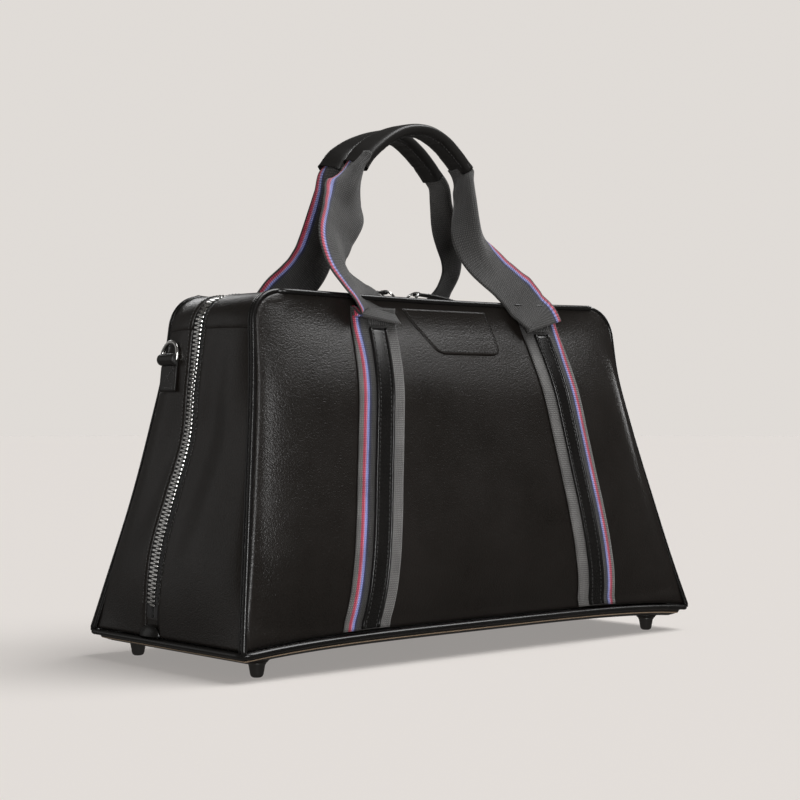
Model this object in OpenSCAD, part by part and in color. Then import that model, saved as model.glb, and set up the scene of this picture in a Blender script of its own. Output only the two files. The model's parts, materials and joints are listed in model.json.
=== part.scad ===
// Weekender bag: a flared leather body that opens along a zip over its top and ends,
// with two webbing handles, end D-rings and four metal feet.
// X runs along the bag, Y from its front (negative) to its back, and Z up from the ground.

/* [Body] */
// Length of the body along its bottom seam
body_len = 530; // [500:5:560]
// Depth of the body along its bottom seam
body_depth = 220; // [205:5:235]
// Length across the top, before its corners are rounded
top_len = 434; // [410:2:450]
// Depth across the top
top_depth = 134; // [126:2:146]
// Height of the top above the ground
body_height = 310; // [295:5:325]
// Height of the bottom seam above the ground
seam_height = 24; // [22:1:28]
// Radius of the corner between each end and the top
corner_radius = 30; // [24:1:36]
// Thickness of the leather
leather = 3; // [2.5:0.5:3.5]
// How far the front and back panels swell outwards
panel_bulge = 16; // [8:1:18]
// Radius of the rounded corners of the base
base_corner = 16; // [10:1:20]
// Height of the seam between the top band and each end
band_seam = 280; // [270:1:284]
// Radius of the piping cord
piping_radius = 2.3; // [1.8:0.1:2.5]

/* [Zip] */
// Distance of the zip behind the middle, on the top
zip_top_y = 8; // [4:1:12]
// Distance of the zip behind the middle, at its lower ends
zip_low_y = 21; // [14:1:24]
// Height of the zip's lower ends
zip_end_height = 46; // [44:1:60]
// Half the width of the slot in the leather that shows the zip
zip_slot = 11.5; // [9:0.5:13]
// Half the width of the zip tape
tape_half = 15; // [13:0.5:16]
// Width of each row of teeth
chain_width = 3; // [2.5:0.1:3.2]
// Distance of each slider from the middle
slider_x = 9.5; // [9:0.5:14]
// Length of each leather zip pull
pull_len = 50; // [40:1:56]

/* [Straps and handles] */
// Width of the webbing
webbing = 50; // [44:1:52]
// Thickness of the webbing
webbing_t = 2; // [1.5:0.1:2.2]
// Width of the leather strip on each strap
overlay = 23; // [18:1:28]
// Distance of each strap's centre from the middle, at the top
strap_top_x = 98; // [92:1:106]
// Distance of each strap's centre from the middle, at the bottom seam
strap_low_x = 141; // [132:1:150]
// Height of the top of the handles
handle_height = 478; // [460:2:490]
// Half the length of each leather grip
grip_half = 68; // [60:1:72]
// Width of each grip
grip_width = 25; // [22:1:26]
// Thickness of each grip
grip_t = 10; // [8:0.5:11]
// Distance of each grip's centre from the middle
grip_y = 26; // [24:1:30]

/* [Rings and feet] */
// Height of each D-ring's bar
ring_height = 256; // [240:1:256]
// Distance of each D-ring behind the middle
ring_y = 44; // [40:1:46]
// Inside width of each D-ring
ring_width = 19; // [16:1:21]
// Radius of the D-ring's wire
ring_wire = 1.7; // [1.4:0.1:1.9]
// Radius of each foot
foot_radius = 7.5; // [6:0.5:8]
// Height of each foot
foot_height = 12; // [10:0.5:14]
// Distance of the feet in from the ends of the base
foot_inset_x = 30; // [24:1:40]
// Distance of the feet in from the front and back of the base
foot_inset_y = 24; // [20:1:30]

/* [Hidden] */

BLACK = [0.10, 0.09, 0.085];
WEBBING = [0.16, 0.16, 0.17];
LINING = [0.22, 0.21, 0.22];
STEEL = [0.78, 0.78, 0.80];
BOARD = [0.45, 0.36, 0.26];
far = 400;                                  // beyond the whole bag
fine = 48;                                  // facets of a round shape
fit = 0.3;                                  // gap between pieces of one body
part_gap = 0.6;                             // gap between pieces that part
rise = body_height - seam_height;
flare_x = (body_len - top_len) / 2 / rise;  // lean of each end, per unit of height
flare_y = (body_depth - top_depth) / 2 / rise;
end_lean = atan(flare_x);
zip_lean = (zip_low_y - zip_top_y) / (body_height - zip_end_height);
panel_foot = seam_height + 1;               // lowest edge of the front and back panels
chain_gap = 0.8;                            // half the gap between the two rows of teeth
chain_inset = 1.4;                          // depth of the teeth below the leather
tape_inset = leather + 0.2;
tape_t = 1;
board_t = 3;
lining_t = 0.9;
floor_top = foot_height + leather + board_t;
shank = 2;                                  // radius of the shank of a foot
washer_t = 1;
grip_sag = 38;                              // rise of a grip from its ends to its middle
hinge_z = body_height - 1;                  // axis that the handles fold about
hinge_y = top_depth / 2 + 6;
leg_gap = 4;                                // from that axis to the end of the webbing
pull_wire = 1.1;
slider_plate = 3.4;                         // top of a slider's plate above the teeth
bridge = 4;                                 // radius of the bridge on a slider
pivot_z = body_height - chain_inset + slider_plate + pull_wire + fit;   // axis of a zip pull
pull_ring = 6.5;
pull_tilt = 42;                             // slope of the pull's ring
tab_t = 2.4;
tab_width = 11;
tab_clear = 2.6;                            // height of the pull's far end above the top

function half_len(z) = body_len / 2 - flare_x * (z - seam_height);
function half_depth(z) = body_depth / 2 - flare_y * (z - seam_height);
function zip_y(z) = zip_top_y + zip_lean * (body_height - z);
function strap_x(z) = strap_low_x + (strap_top_x - strap_low_x) * (z - seam_height) / rise;

// Outline of the body seen from the front, inset evenly by t, cut off at height low.
// Its sides lean in and meet the top in round corners.
function end_outline(t, low) =
    let (
        z = body_height - corner_radius,
        x = half_len(z) - corner_radius / cos(end_lean),
        r = corner_radius - t,
        side = [for (a = [end_lean : (90 - end_lean) / 8 : 90.01]) [x + r * cos(a), z + r * sin(a)]],
        foot = half_len(low) - t / cos(end_lean)
    )
    concat(
        [[foot, low]],
        side,
        [for (i = [len(side) - 1 : -1 : 0]) [-side[i].x, side[i].y]],
        [[-foot, low]]
    );

// The body's outline as a long prism along Y
module end_prism(t, low) {
    rotate([90, 0, 0])
        linear_extrude(2 * far, center = true)
            polygon(end_outline(t, low));
}

// A slice of the bag seen from its end, as a long prism along X. Each corner is [y, z].
module side_prism(corners) {
    rotate([90, 0, 90])
        linear_extrude(2 * far, center = true)
            polygon(corners);
}

// The walls of the ends and the top between two depths inside the outline
module wall_ring(outer, inner, low) {
    difference() {
        end_prism(outer, low);
        end_prism(inner, low - 1);
    }
}

// Keeps what lies on one side in X: -1 left, 1 right
module end_half(end) {
    intersection() {
        children();
        translate([end * far / 2, 0, 0])
            cube([far, 2 * far, 2 * far], center = true);
    }
}

// Part of the end walls and top between the front panel and the zip slot
module front_wall(low, high) {
    intersection() {
        wall_ring(0, leather, low);
        side_prism([
            [-half_depth(low) + leather + fit, low],
            [zip_y(low) - zip_slot, low],
            [zip_y(high) - zip_slot, high],
            [-half_depth(high) + leather + fit, high]
        ]);
    }
}

module back_wall(low, high) {
    intersection() {
        wall_ring(0, leather, low);
        side_prism([
            [zip_y(low) + zip_slot, low],
            [half_depth(low) - leather - fit, low],
            [half_depth(high) - leather - fit, high],
            [zip_y(high) + zip_slot, high]
        ]);
    }
}

// One layer of the swollen front panel: its outline inset by t, moved outwards by w
module panel_layer(t, w) {
    multmatrix([[1, 0, 0, 0], [0, 1, flare_y, -half_depth(0) - w], [0, 0, 1, 0], [0, 0, 0, 1]])
        rotate([90, 0, 0])
            linear_extrude(0.01)
                polygon(end_outline(t, panel_foot + t * 0.6));
}

// Solid swollen form of the front panel, thinned by t all round
module pillow(t) {
    hull() {
        panel_layer(t, -leather - t);
        panel_layer(t, -t);
        panel_layer(t + 7, panel_bulge * 0.4 - t);
        panel_layer(t + 28, panel_bulge * 0.78 - t);
        panel_layer(t + 62, panel_bulge - t);
    }
}

module panel_shell() {
    difference() {
        pillow(0);
        pillow(leather);
    }
}

// A layer of thickness t that lies on the swollen panel at height h, before it is cut to shape
module panel_skin(h, t) {
    difference() {
        translate([0, -h - t, 0])
            pillow(0);
        translate([0, -h, 0])
            pillow(0);
    }
}

// Strip that runs up the panel, of width w, with its ends at the heights low and high
module strip(end, w, low, high) {
    rotate([90, 0, 0])
        linear_extrude(far)
            polygon([
                [end * strap_x(low) - w / 2, low],
                [end * strap_x(low) + w / 2, low],
                [end * strap_x(high) + w / 2, high],
                [end * strap_x(high) - w / 2, high]
            ]);
}

module strap(end) {
    color(WEBBING)
        intersection() {
            panel_skin(0.1, webbing_t);
            strip(end, webbing, seam_height + 5, body_height - 7);
        }
}

module strap_overlay(end) {
    color(BLACK)
        intersection() {
            panel_skin(webbing_t + 0.2, 1.8);
            strip(end, overlay, seam_height + 6, body_height - 22);
        }
}

module lining() {
    color(LINING)
        intersection() {
            end_prism(leather + 1, panel_foot + 2);
            side_prism([
                [-half_depth(panel_foot) + leather + fit, panel_foot],
                [-half_depth(panel_foot) + leather + fit + lining_t, panel_foot],
                [-half_depth(body_height) + leather + fit + lining_t, body_height],
                [-half_depth(body_height) + leather + fit, body_height]
            ]);
        }
}

module rod(p, q, r) {
    translate([p.x, p.y, 0])
        rotate([0, 0, atan2(q.y - p.y, q.x - p.x)])
            rotate([0, 90, 0])
                cylinder(h = norm(q - p), r = r, $fn = fine);
}

// Piping up both ends and over the top, along the edge of the front panel
module panel_piping() {
    low = seam_height + 5;
    width = 2 * piping_radius;
    color(BLACK)
        intersection() {
            wall_ring(-width, -0.1, low);
            side_prism([
                [-half_depth(low) - width / 2, low],
                [-half_depth(low) + width / 2, low],
                [-half_depth(far) + width / 2, far],
                [-half_depth(far) - width / 2, far]
            ]);
        }
}

// Tape and a row of teeth along one edge of the zip. side is -1 for the front, 1 for the back.
module zip_half(side) {
    low = zip_end_height + part_gap;
    color([0.12, 0.12, 0.12])
        union() {
            intersection() {
                wall_ring(tape_inset, tape_inset + tape_t, low);
                side_prism([
                    [zip_y(low) + side * chain_gap, low],
                    [zip_y(low) + side * tape_half, low],
                    [zip_y(body_height) + side * tape_half, body_height],
                    [zip_y(body_height) + side * chain_gap, body_height]
                ]);
            }
            intersection() {
                wall_ring(chain_inset, tape_inset + 0.5, low);
                side_prism([
                    [zip_y(low) + side * chain_gap, low],
                    [zip_y(low) + side * (chain_gap + chain_width), low],
                    [zip_y(body_height) + side * (chain_gap + chain_width), body_height],
                    [zip_y(body_height) + side * chain_gap, body_height]
                ]);
            }
        }
}

// Plate with round corners, standing on z = 0
module rounded_plate(length, depth, t, r) {
    linear_extrude(t)
        union() {
            square([length - 2 * r, depth], center = true);
            square([length, depth - 2 * r], center = true);
            for (x = [-1, 1], y = [-1, 1])
                translate([x * (length / 2 - r), y * (depth / 2 - r)])
                    circle(r, $fn = fine);
        }
}

module at_feet() {
    for (x = [-1, 1], y = [-1, 1])
        translate([x * (body_len / 2 - foot_inset_x), y * (body_depth / 2 - foot_inset_y), 0])
            children();
}

module base_panel() {
    color(BLACK)
        difference() {
            translate([0, 0, foot_height])
                rounded_plate(body_len, body_depth, seam_height - foot_height - 1, base_corner);
            translate([0, 0, foot_height + leather])
                rounded_plate(
                    body_len - 2 * leather, body_depth - 2 * leather, far, base_corner - leather
                );
            at_feet()
                cylinder(h = far, r = shank + 0.1, center = true, $fn = fine);
        }
}

module base_board() {
    inset = leather + 1;
    color(BOARD)
        difference() {
            translate([0, 0, foot_height + leather])
                rounded_plate(
                    body_len - 2 * inset, body_depth - 2 * inset, board_t, base_corner - inset
                );
            at_feet()
                cylinder(h = far, r = shank + 0.1, center = true, $fn = fine);
        }
}

module base_lining() {
    inset = leather + 1;
    color(LINING)
        translate([0, 0, floor_top + washer_t + fit])
            rounded_plate(
                body_len - 2 * inset, body_depth - 2 * inset, lining_t, base_corner - inset
            );
}

// Piping round the bottom seam
module base_piping() {
    out = piping_radius + 0.1;
    x = body_len / 2 - base_corner;
    y = body_depth / 2 - base_corner;
    r = base_corner + out;
    color(BLACK)
        translate([0, 0, seam_height - piping_radius - 0.4])
            union() {
                for (side = [-1, 1]) {
                    rod([-x, side * (y + r)], [x, side * (y + r)], piping_radius);
                    rod([side * (x + r), -y], [side * (x + r), y], piping_radius);
                }
                for (corner = [[1, 1, 0], [-1, 1, 90], [-1, -1, 180], [1, -1, 270]])
                    translate([corner.x * x, corner.y * y, 0])
                        rotate([0, 0, corner.z])
                            rotate_extrude(angle = 90, $fn = fine)
                                translate([r, 0])
                                    circle(piping_radius, $fn = 24);
            }
}

// Domed metal foot on a shank that goes through the leather and the board
module foot(end, side) {
    r = foot_radius;
    color(STEEL)
        translate([end * (body_len / 2 - foot_inset_x), side * (body_depth / 2 - foot_inset_y), 0])
            rotate_extrude($fn = fine)
                polygon([
                    [0, 0], [r * 0.45, 0], [r * 0.62, 0.8], [r * 0.72, 2.4], [r * 0.9, foot_height - 2],
                    [r, foot_height - 1.2], [r, foot_height - fit / 3], [shank, foot_height - fit / 3],
                    [shank, floor_top + washer_t], [0, floor_top + washer_t]
                ]);
}

// Retaining washer on top of the board
module washer(end, side) {
    color(STEEL)
        translate([
            end * (body_len / 2 - foot_inset_x), side * (body_depth / 2 - foot_inset_y), floor_top
        ])
            difference() {
                cylinder(h = washer_t, r = foot_radius, $fn = fine);
                translate([0, 0, -1])
                    cylinder(h = washer_t + 2, r = shank + 0.1, $fn = fine);
            }
}

// Uncut leather of an end, below the zip
module gusset_foot(end) {
    low = seam_height + fit;
    color(BLACK)
        end_half(end)
            intersection() {
                wall_ring(0, leather, low);
                side_prism([
                    [-half_depth(low) + leather + fit, low],
                    [half_depth(low) - leather - fit, low],
                    [half_depth(zip_end_height) - leather - fit, zip_end_height],
                    [-half_depth(zip_end_height) + leather + fit, zip_end_height]
                ]);
            }
}

// Leather tongue over the lower end of the zip
module zip_tab(end) {
    reach = 9;
    z = zip_end_height - 9;
    color(BLACK)
        translate([end * half_len(z), zip_y(z), z])
            rotate([0, end * 12, 0])
                translate([end * (reach / 2 + 0.9), 0, 0])
                    cube([reach, 26, 2.4], center = true);
}

module front_panel() {
    color(BLACK)
        panel_shell();
}

module back_panel() {
    color(BLACK)
        mirror([0, 1, 0])
            panel_shell();
}

module front_top_band() {
    color(BLACK)
        front_wall(band_seam, body_height);
}

module back_top_band() {
    color(BLACK)
        back_wall(band_seam, body_height);
}

module front_gusset(end) {
    color(BLACK)
        end_half(end)
            front_wall(zip_end_height + part_gap, band_seam - 0.1);
}

module back_gusset(end) {
    color(BLACK)
        end_half(end)
            back_wall(zip_end_height + part_gap, band_seam - 0.1);
}

// Blank patch that hangs from the top seam
module front_patch() {
    color(BLACK)
        intersection() {
            panel_skin(0.1, 1.4);
            rotate([90, 0, 0])
                linear_extrude(far)
                    polygon([
                        [-26, body_height - 48], [26, body_height - 48],
                        [50, body_height - 5], [-50, body_height - 5]
                    ]);
        }
}

// Flat pocket on the back lining
module inner_pocket() {
    low = 110;
    high = 240;
    color(LINING)
        intersection() {
            translate([-120, -far, 0])
                cube([240, 2 * far, far]);
            side_prism([
                [half_depth(low) - leather - 2 * fit - 2 * lining_t, low],
                [half_depth(low) - leather - 2 * fit - lining_t, low],
                [half_depth(high) - leather - 2 * fit - lining_t, high],
                [half_depth(high) - leather - 2 * fit - 2 * lining_t, high]
            ]);
        }
}

// Axis of a D-ring's bar: it stands off the end wall, in a rolled loop
function ring_x(end) = end * (half_len(ring_height) + 5.5);

// Leather tab sewn to the end, rolled round the bar of the D-ring
module ring_loop(end) {
    width = ring_width - 1;
    tab = 42;
    color(BLACK)
        union() {
            translate([ring_x(end), ring_y, ring_height])
                rotate([90, 0, 0])
                    difference() {
                        cylinder(h = width, r = 4.6, center = true, $fn = fine);
                        cylinder(h = width + 2, r = ring_wire + 0.1, center = true, $fn = fine);
                    }
            translate([end * half_len(ring_height), ring_y, ring_height])
                rotate([0, end * end_lean * -1, 0])
                    translate([end * 1.4, 0, -tab / 2])
                        cube([2.4, width, tab], center = true);
        }
}

// D-ring, standing on its bar and leaning on the end wall
module d_ring(end) {
    r = ring_width / 2 + ring_wire;
    straight = 4;
    color(STEEL)
        translate([ring_x(end), ring_y, ring_height])
            rotate([0, -end * (end_lean + 1), 0])
                rotate([90, 0, 90])
                    union() {
                        rod([-r, 0], [r, 0], ring_wire);
                        for (side = [-1, 1]) {
                            rod([side * r, 0], [side * r, straight], ring_wire);
                            translate([side * r, 0, 0])
                                sphere(ring_wire, $fn = fine);
                        }
                        translate([0, straight, 0])
                            rotate_extrude(angle = 180, $fn = fine)
                                translate([r, 0])
                                    circle(ring_wire, $fn = 24);
                    }
}

// How far in the handle leans at height z
function lean_y(z) =
    -hinge_y + (hinge_y - grip_y) * (z - hinge_z) / (handle_height - hinge_z);

// One leg of webbing: flat and wide where it leaves the bag, folded narrow and turned at the grip
module leg(end) {
    low = hinge_z + leg_gap;
    mid = hinge_z + 56;
    high = handle_height - grip_sag - 8;
    hull() {
        translate([end * strap_top_x, lean_y(low), low])
            cube([webbing, webbing_t, 0.5], center = true);
        translate([end * (strap_top_x + 18), lean_y(mid), mid])
            rotate([0, 0, end * 30])
                cube([38, webbing_t + 2, 0.5], center = true);
    }
    hull() {
        translate([end * (strap_top_x + 18), lean_y(mid), mid])
            rotate([0, 0, end * 30])
                cube([38, webbing_t + 2, 0.5], center = true);
        translate([end * (grip_half + 1), lean_y(high), high])
            cube([7, grip_width - 3, 0.5], center = true);
    }
}

module handle_webbing() {
    color(WEBBING)
        union() {
            leg(-1);
            leg(1);
        }
}

// Leather grip: an arch with a flat round-cornered section
module grip() {
    sag = grip_sag;
    r = (grip_half * grip_half + sag * sag) / 2 / sag;
    half_angle = asin(grip_half / r);
    middle = handle_height - grip_t / 2;
    section = [grip_t / 2 - 3, grip_width / 2 - 3];
    color(BLACK)
        translate([0, lean_y(middle), middle])
            rotate([90 - atan((hinge_y - grip_y) / (handle_height - hinge_z)), 0, 0])
                translate([0, -r, 0])
                    rotate([0, 0, 90 - half_angle])
                        rotate_extrude(angle = 2 * half_angle, $fn = 96)
                            translate([r, 0])
                                union() {
                                    square([grip_t, grip_width - 6], center = true);
                                    square([grip_t - 6, grip_width], center = true);
                                    for (x = [-1, 1], y = [-1, 1])
                                        translate([x * section.x, y * section.y])
                                            circle(3, $fn = 24);
                                }
}

// Slider: a plate over the teeth and a plate under the back tape, joined between the rows of
// teeth, with a bridge on top. The plate's front half slopes up, clear of the teeth as they part.
module slider(end) {
    length = 9;
    half = 4.5;
    chain_top = body_height - chain_inset;
    post = chain_gap - fit;
    color(STEEL)
        translate([end * slider_x, zip_top_y, chain_top]) {
            rotate([90, 0, 90])
                linear_extrude(length, center = true)
                    polygon([
                        [-half, 2.1], [-post, fit], [-post, -5.6], [half, -5.6], [half, -4.2],
                        [post, -4.2], [post, fit], [half, fit],
                        [half, slider_plate], [-half, slider_plate]
                    ]);
            translate([0, 0, slider_plate])
                rotate([90, 0, 0])
                    rotate_extrude(angle = 180, $fn = fine)
                        translate([bridge, 0])
                            circle(0.8, $fn = 24);
        }
}

// Frame of a zip pull: X points outwards along the pull, with the pivot at the origin
module at_pull(end) {
    translate([end * slider_x, zip_top_y, pivot_z])
        mirror([end < 0 ? 1 : 0, 0, 0])
            children();
}

// Ring that turns in the slider's bridge
module pull_ring(end) {
    color(STEEL)
        at_pull(end)
            rotate([0, -pull_tilt, 0])
                translate([pull_ring, 0, 0])
                    rotate_extrude($fn = fine)
                        translate([pull_ring, 0])
                            circle(pull_wire, $fn = 24);
}

// Leather tab that hangs on the ring and lies outwards along the top
module pull_tab(end) {
    start = 2 * pull_ring * cos(pull_tilt) + pull_wire + 1.6;
    fall = 2 * pull_ring * sin(pull_tilt) + pivot_z - body_height - tab_clear - tab_t;
    drop = atan(fall / pull_len);
    color(BLACK)
        at_pull(end)
            translate([start, 0, 2 * pull_ring * sin(pull_tilt)])
                rotate([0, drop, 0])
                    translate([0, -tab_width / 2, -tab_t])
                        cube([pull_len, tab_width, tab_t]);
}

base_panel();
base_board();
base_lining();
base_piping();
foot(-1, -1);  // foot_front_left
foot(1, -1);  // foot_front_right
foot(-1, 1);  // foot_back_left
foot(1, 1);  // foot_back_right
washer(-1, -1);  // washer_front_left
washer(1, -1);  // washer_front_right
washer(-1, 1);  // washer_back_left
washer(1, 1);  // washer_back_right
gusset_foot(-1);  // left_gusset_foot
gusset_foot(1);  // right_gusset_foot
zip_tab(-1);  // left_zip_tab
zip_tab(1);  // right_zip_tab
front_panel();
front_top_band();
front_gusset(-1);  // front_left_gusset
front_gusset(1);  // front_right_gusset
panel_piping();  // front_piping
zip_half(-1);  // front_zip_tape
lining();  // front_lining
front_patch();
strap(-1);  // front_left_strap
strap(1);  // front_right_strap
strap_overlay(-1);  // front_left_overlay
strap_overlay(1);  // front_right_overlay
back_panel();
back_top_band();
back_gusset(-1);  // back_left_gusset
back_gusset(1);  // back_right_gusset
mirror([0, 1, 0]) panel_piping();  // back_piping
zip_half(1);  // back_zip_tape
mirror([0, 1, 0]) lining();  // back_lining
inner_pocket();
mirror([0, 1, 0]) strap(-1);  // back_left_strap
mirror([0, 1, 0]) strap(1);  // back_right_strap
mirror([0, 1, 0]) strap_overlay(-1);  // back_left_overlay
mirror([0, 1, 0]) strap_overlay(1);  // back_right_overlay
ring_loop(-1);  // left_ring_loop
ring_loop(1);  // right_ring_loop
d_ring(-1);  // left_d_ring
d_ring(1);  // right_d_ring
handle_webbing();  // front_handle_webbing
grip();  // front_grip
mirror([0, 1, 0]) handle_webbing();  // back_handle_webbing
mirror([0, 1, 0]) grip();  // back_grip
slider(-1);  // left_slider
slider(1);  // right_slider
pull_ring(-1);  // left_pull_ring
pull_ring(1);  // right_pull_ring
pull_tab(-1);  // left_pull_tab
pull_tab(1);  // right_pull_tab
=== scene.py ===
"""Weekender bag: the looks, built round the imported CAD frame. Metres, +X along the bag, +Y to its back."""
import json
import math

import bmesh
import bpy
import numpy as np
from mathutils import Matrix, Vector

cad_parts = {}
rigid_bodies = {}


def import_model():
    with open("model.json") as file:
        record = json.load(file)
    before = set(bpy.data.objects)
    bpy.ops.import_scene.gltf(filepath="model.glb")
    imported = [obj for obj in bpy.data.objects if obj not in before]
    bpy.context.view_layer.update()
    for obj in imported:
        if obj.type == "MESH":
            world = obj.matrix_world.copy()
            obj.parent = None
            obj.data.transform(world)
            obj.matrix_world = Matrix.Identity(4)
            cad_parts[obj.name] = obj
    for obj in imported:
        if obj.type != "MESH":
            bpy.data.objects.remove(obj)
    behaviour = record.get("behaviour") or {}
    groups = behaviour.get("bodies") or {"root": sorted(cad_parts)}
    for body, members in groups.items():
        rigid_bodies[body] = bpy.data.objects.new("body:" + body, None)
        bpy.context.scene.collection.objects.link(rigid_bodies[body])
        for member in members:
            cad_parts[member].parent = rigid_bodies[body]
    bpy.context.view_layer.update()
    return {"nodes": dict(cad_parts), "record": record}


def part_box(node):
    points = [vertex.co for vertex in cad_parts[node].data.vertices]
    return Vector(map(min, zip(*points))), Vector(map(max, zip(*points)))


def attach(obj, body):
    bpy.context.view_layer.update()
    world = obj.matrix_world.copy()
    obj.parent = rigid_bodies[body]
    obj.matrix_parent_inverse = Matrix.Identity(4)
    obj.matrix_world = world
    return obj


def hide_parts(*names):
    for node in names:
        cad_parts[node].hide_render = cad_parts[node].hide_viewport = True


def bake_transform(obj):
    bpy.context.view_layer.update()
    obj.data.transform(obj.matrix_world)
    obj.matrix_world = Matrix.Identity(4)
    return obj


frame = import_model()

JOINTS = {j["name"]: j for j in frame["record"]["behaviour"]["joints"]}

# ---------------------------------------------------------------- sizes, from the frame
MM = 0.001
LEATHER = 3 * MM
SEAM_GAP = 0.3 * MM
PANEL_LIFT = 0.1 * MM                  # gap under a strip laid on a panel
CORNER = 30 * MM                       # radius where each end turns into the top
WEBBING = 50 * MM
WEBBING_T = 2 * MM
PIPE = 2.3 * MM
STRIPE_SHIFT = 3.2 * MM                # how far the stripe moves towards the edge on the handles
SLOT = 9.5 * MM                        # half the slot in the leather that shows the zip
base_lo, base_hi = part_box("base_panel")
band_lo, band_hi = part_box("front_top_band")
HALF_L, HALF_D = base_hi.x, base_hi.y
RIM = base_lo.z
SEAM = JOINTS["front_opens"]["pos_m"][2]
TOP = band_hi.z
BAND = band_lo.z                       # seam between the top band and the ends
FLARE_X = (HALF_L - band_hi.x) / (BAND - SEAM)
FLARE_Y = (HALF_D - (LEATHER + SEAM_GAP - band_lo.y)) / (BAND - SEAM)
END_LEAN = math.atan(FLARE_X)
slider_lo, slider_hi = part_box("left_slider")
tab_lo, tab_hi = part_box("left_zip_tab")
ZIP_Y = (slider_lo.y + slider_hi.y) / 2
ZIP_LEAN = ((tab_lo.y + tab_hi.y) / 2 - ZIP_Y) / (TOP - (tab_lo.z + tab_hi.z) / 2)
ZIP_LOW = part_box("front_zip_tape")[0].z
strap_lo, strap_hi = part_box("front_right_strap")
STRAP_TOP = strap_lo.x + WEBBING / 2   # strap's centre at its top
STRAP_LOW = strap_hi.x - WEBBING / 2
PANEL_FOOT = SEAM + 1 * MM
RNG = np.random.default_rng(7)
SIDES = {"front": -1, "back": 1}       # which way each face looks along Y
ENDS = {"left": -1, "right": 1}        # which way each end looks along X
WALL = {face: ("base", f"{face}_half") for face in SIDES}     # bodies that each wall lies between


def half_len(z):
    return HALF_L - FLARE_X * (z - SEAM)


def half_depth(z):
    return HALF_D - FLARE_Y * (z - SEAM)


def zip_y(z):
    return ZIP_Y + ZIP_LEAN * (TOP - z)


def strap_x(z):
    return STRAP_LOW + (STRAP_TOP - STRAP_LOW) * (z - SEAM) / (TOP - SEAM)


def ease(a, b, x):
    t = np.clip((x - a) / (b - a), 0, 1)
    return t * t * (3 - 2 * t)


def smooth_curve(points):
    """A smooth function through points (t, value, ...) with rising t."""
    table = np.array(points, float)
    t, v = table[:, 0], table[:, 1:]
    slope = np.gradient(v, t, axis=0)

    def at(x):
        x = np.clip(np.asarray(x, float), t[0], t[-1])
        i = np.clip(np.searchsorted(t, x) - 1, 0, len(t) - 2)
        h = (t[i + 1] - t[i])[..., None]
        s = ((x - t[i])[..., None]) / h
        out = ((2 * s**3 - 3 * s**2 + 1) * v[i] + (s**3 - 2 * s**2 + s) * h * slope[i]
               + (3 * s**2 - 2 * s**3) * v[i + 1] + (s**3 - s**2) * h * slope[i + 1])
        return out[..., 0] if v.shape[1] == 1 else out
    return at


def unit(v):
    return v / np.maximum(np.linalg.norm(v, axis=-1, keepdims=True), 1e-12)


# ---------------------------------------------------------------- materials
class Shader:
    """A Principled material, with short ways to add nodes and join them."""

    def __init__(self, name, **settings):
        self.material = bpy.data.materials.new(name)
        self.material.use_nodes = True
        self.tree = self.material.node_tree
        self.principled = self.tree.nodes["Principled BSDF"]
        for key, value in settings.items():
            self.principled.inputs[key.replace("_", " ")].default_value = value

    def add(self, kind, inputs, **attributes):
        node = self.tree.nodes.new(kind)
        for key, value in attributes.items():
            setattr(node, key, value)
        for key, value in inputs.items():
            if isinstance(value, bpy.types.NodeSocket):
                self.tree.links.new(value, node.inputs[key])
            else:
                node.inputs[key].default_value = value
        return node

    def give(self, **sockets):
        """Joins values to the Principled shader's own sockets."""
        for key, value in sockets.items():
            self.tree.links.new(value, self.principled.inputs[key.replace("_", " ")])
        return self.material

    def place(self, kind="Object"):
        return self.add("ShaderNodeTexCoord", {}).outputs[kind]

    def uv_axes(self):
        """UVs hold metres: X across the piece from its outer edge, Y along it."""
        split = self.add("ShaderNodeSeparateXYZ", {"Vector": self.place("UV")})
        return split.outputs["X"], split.outputs["Y"]

    def maths(self, operation, *values):
        return self.add("ShaderNodeMath", dict(enumerate(values)), operation=operation).outputs[0]

    def noise(self, scale, **settings):
        inputs = {"Vector": self.place(), "Scale": scale, **settings}
        return self.add("ShaderNodeTexNoise", inputs).outputs["Fac"]

    def cell_distance(self, scale, feature):
        node = self.add("ShaderNodeTexVoronoi", {"Vector": self.place(), "Scale": scale}, feature=feature)
        return node.outputs["Distance"]

    def remap(self, value, low, high, start=0.0, stop=1.0):
        return self.add("ShaderNodeMapRange", {"Value": value, "From Min": start, "From Max": stop,
                                               "To Min": low, "To Max": high}).outputs[0]

    def ramp(self, value, *stops):
        node = self.add("ShaderNodeValToRGB", {"Fac": value})
        while len(node.color_ramp.elements) < len(stops):
            node.color_ramp.elements.new(0.5)
        for element, (place, colour) in zip(node.color_ramp.elements, stops):
            element.position = place
            element.color = (*colour, 1)
        return node.outputs["Color"]

    def wave(self, value, pitch):
        """0 to 1 and back along value, once each pitch."""
        angle = self.maths("MULTIPLY_ADD", value, 2 * math.pi / pitch, 0.0)
        return self.maths("MULTIPLY_ADD", self.maths("SINE", angle), 0.5, 0.5)

    def bump(self, height, strength, distance, normal=None, invert=False):
        inputs = {"Strength": strength, "Distance": distance, "Height": height}
        if normal:
            inputs["Normal"] = normal
        return self.add("ShaderNodeBump", inputs, invert=invert).outputs["Normal"]


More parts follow.
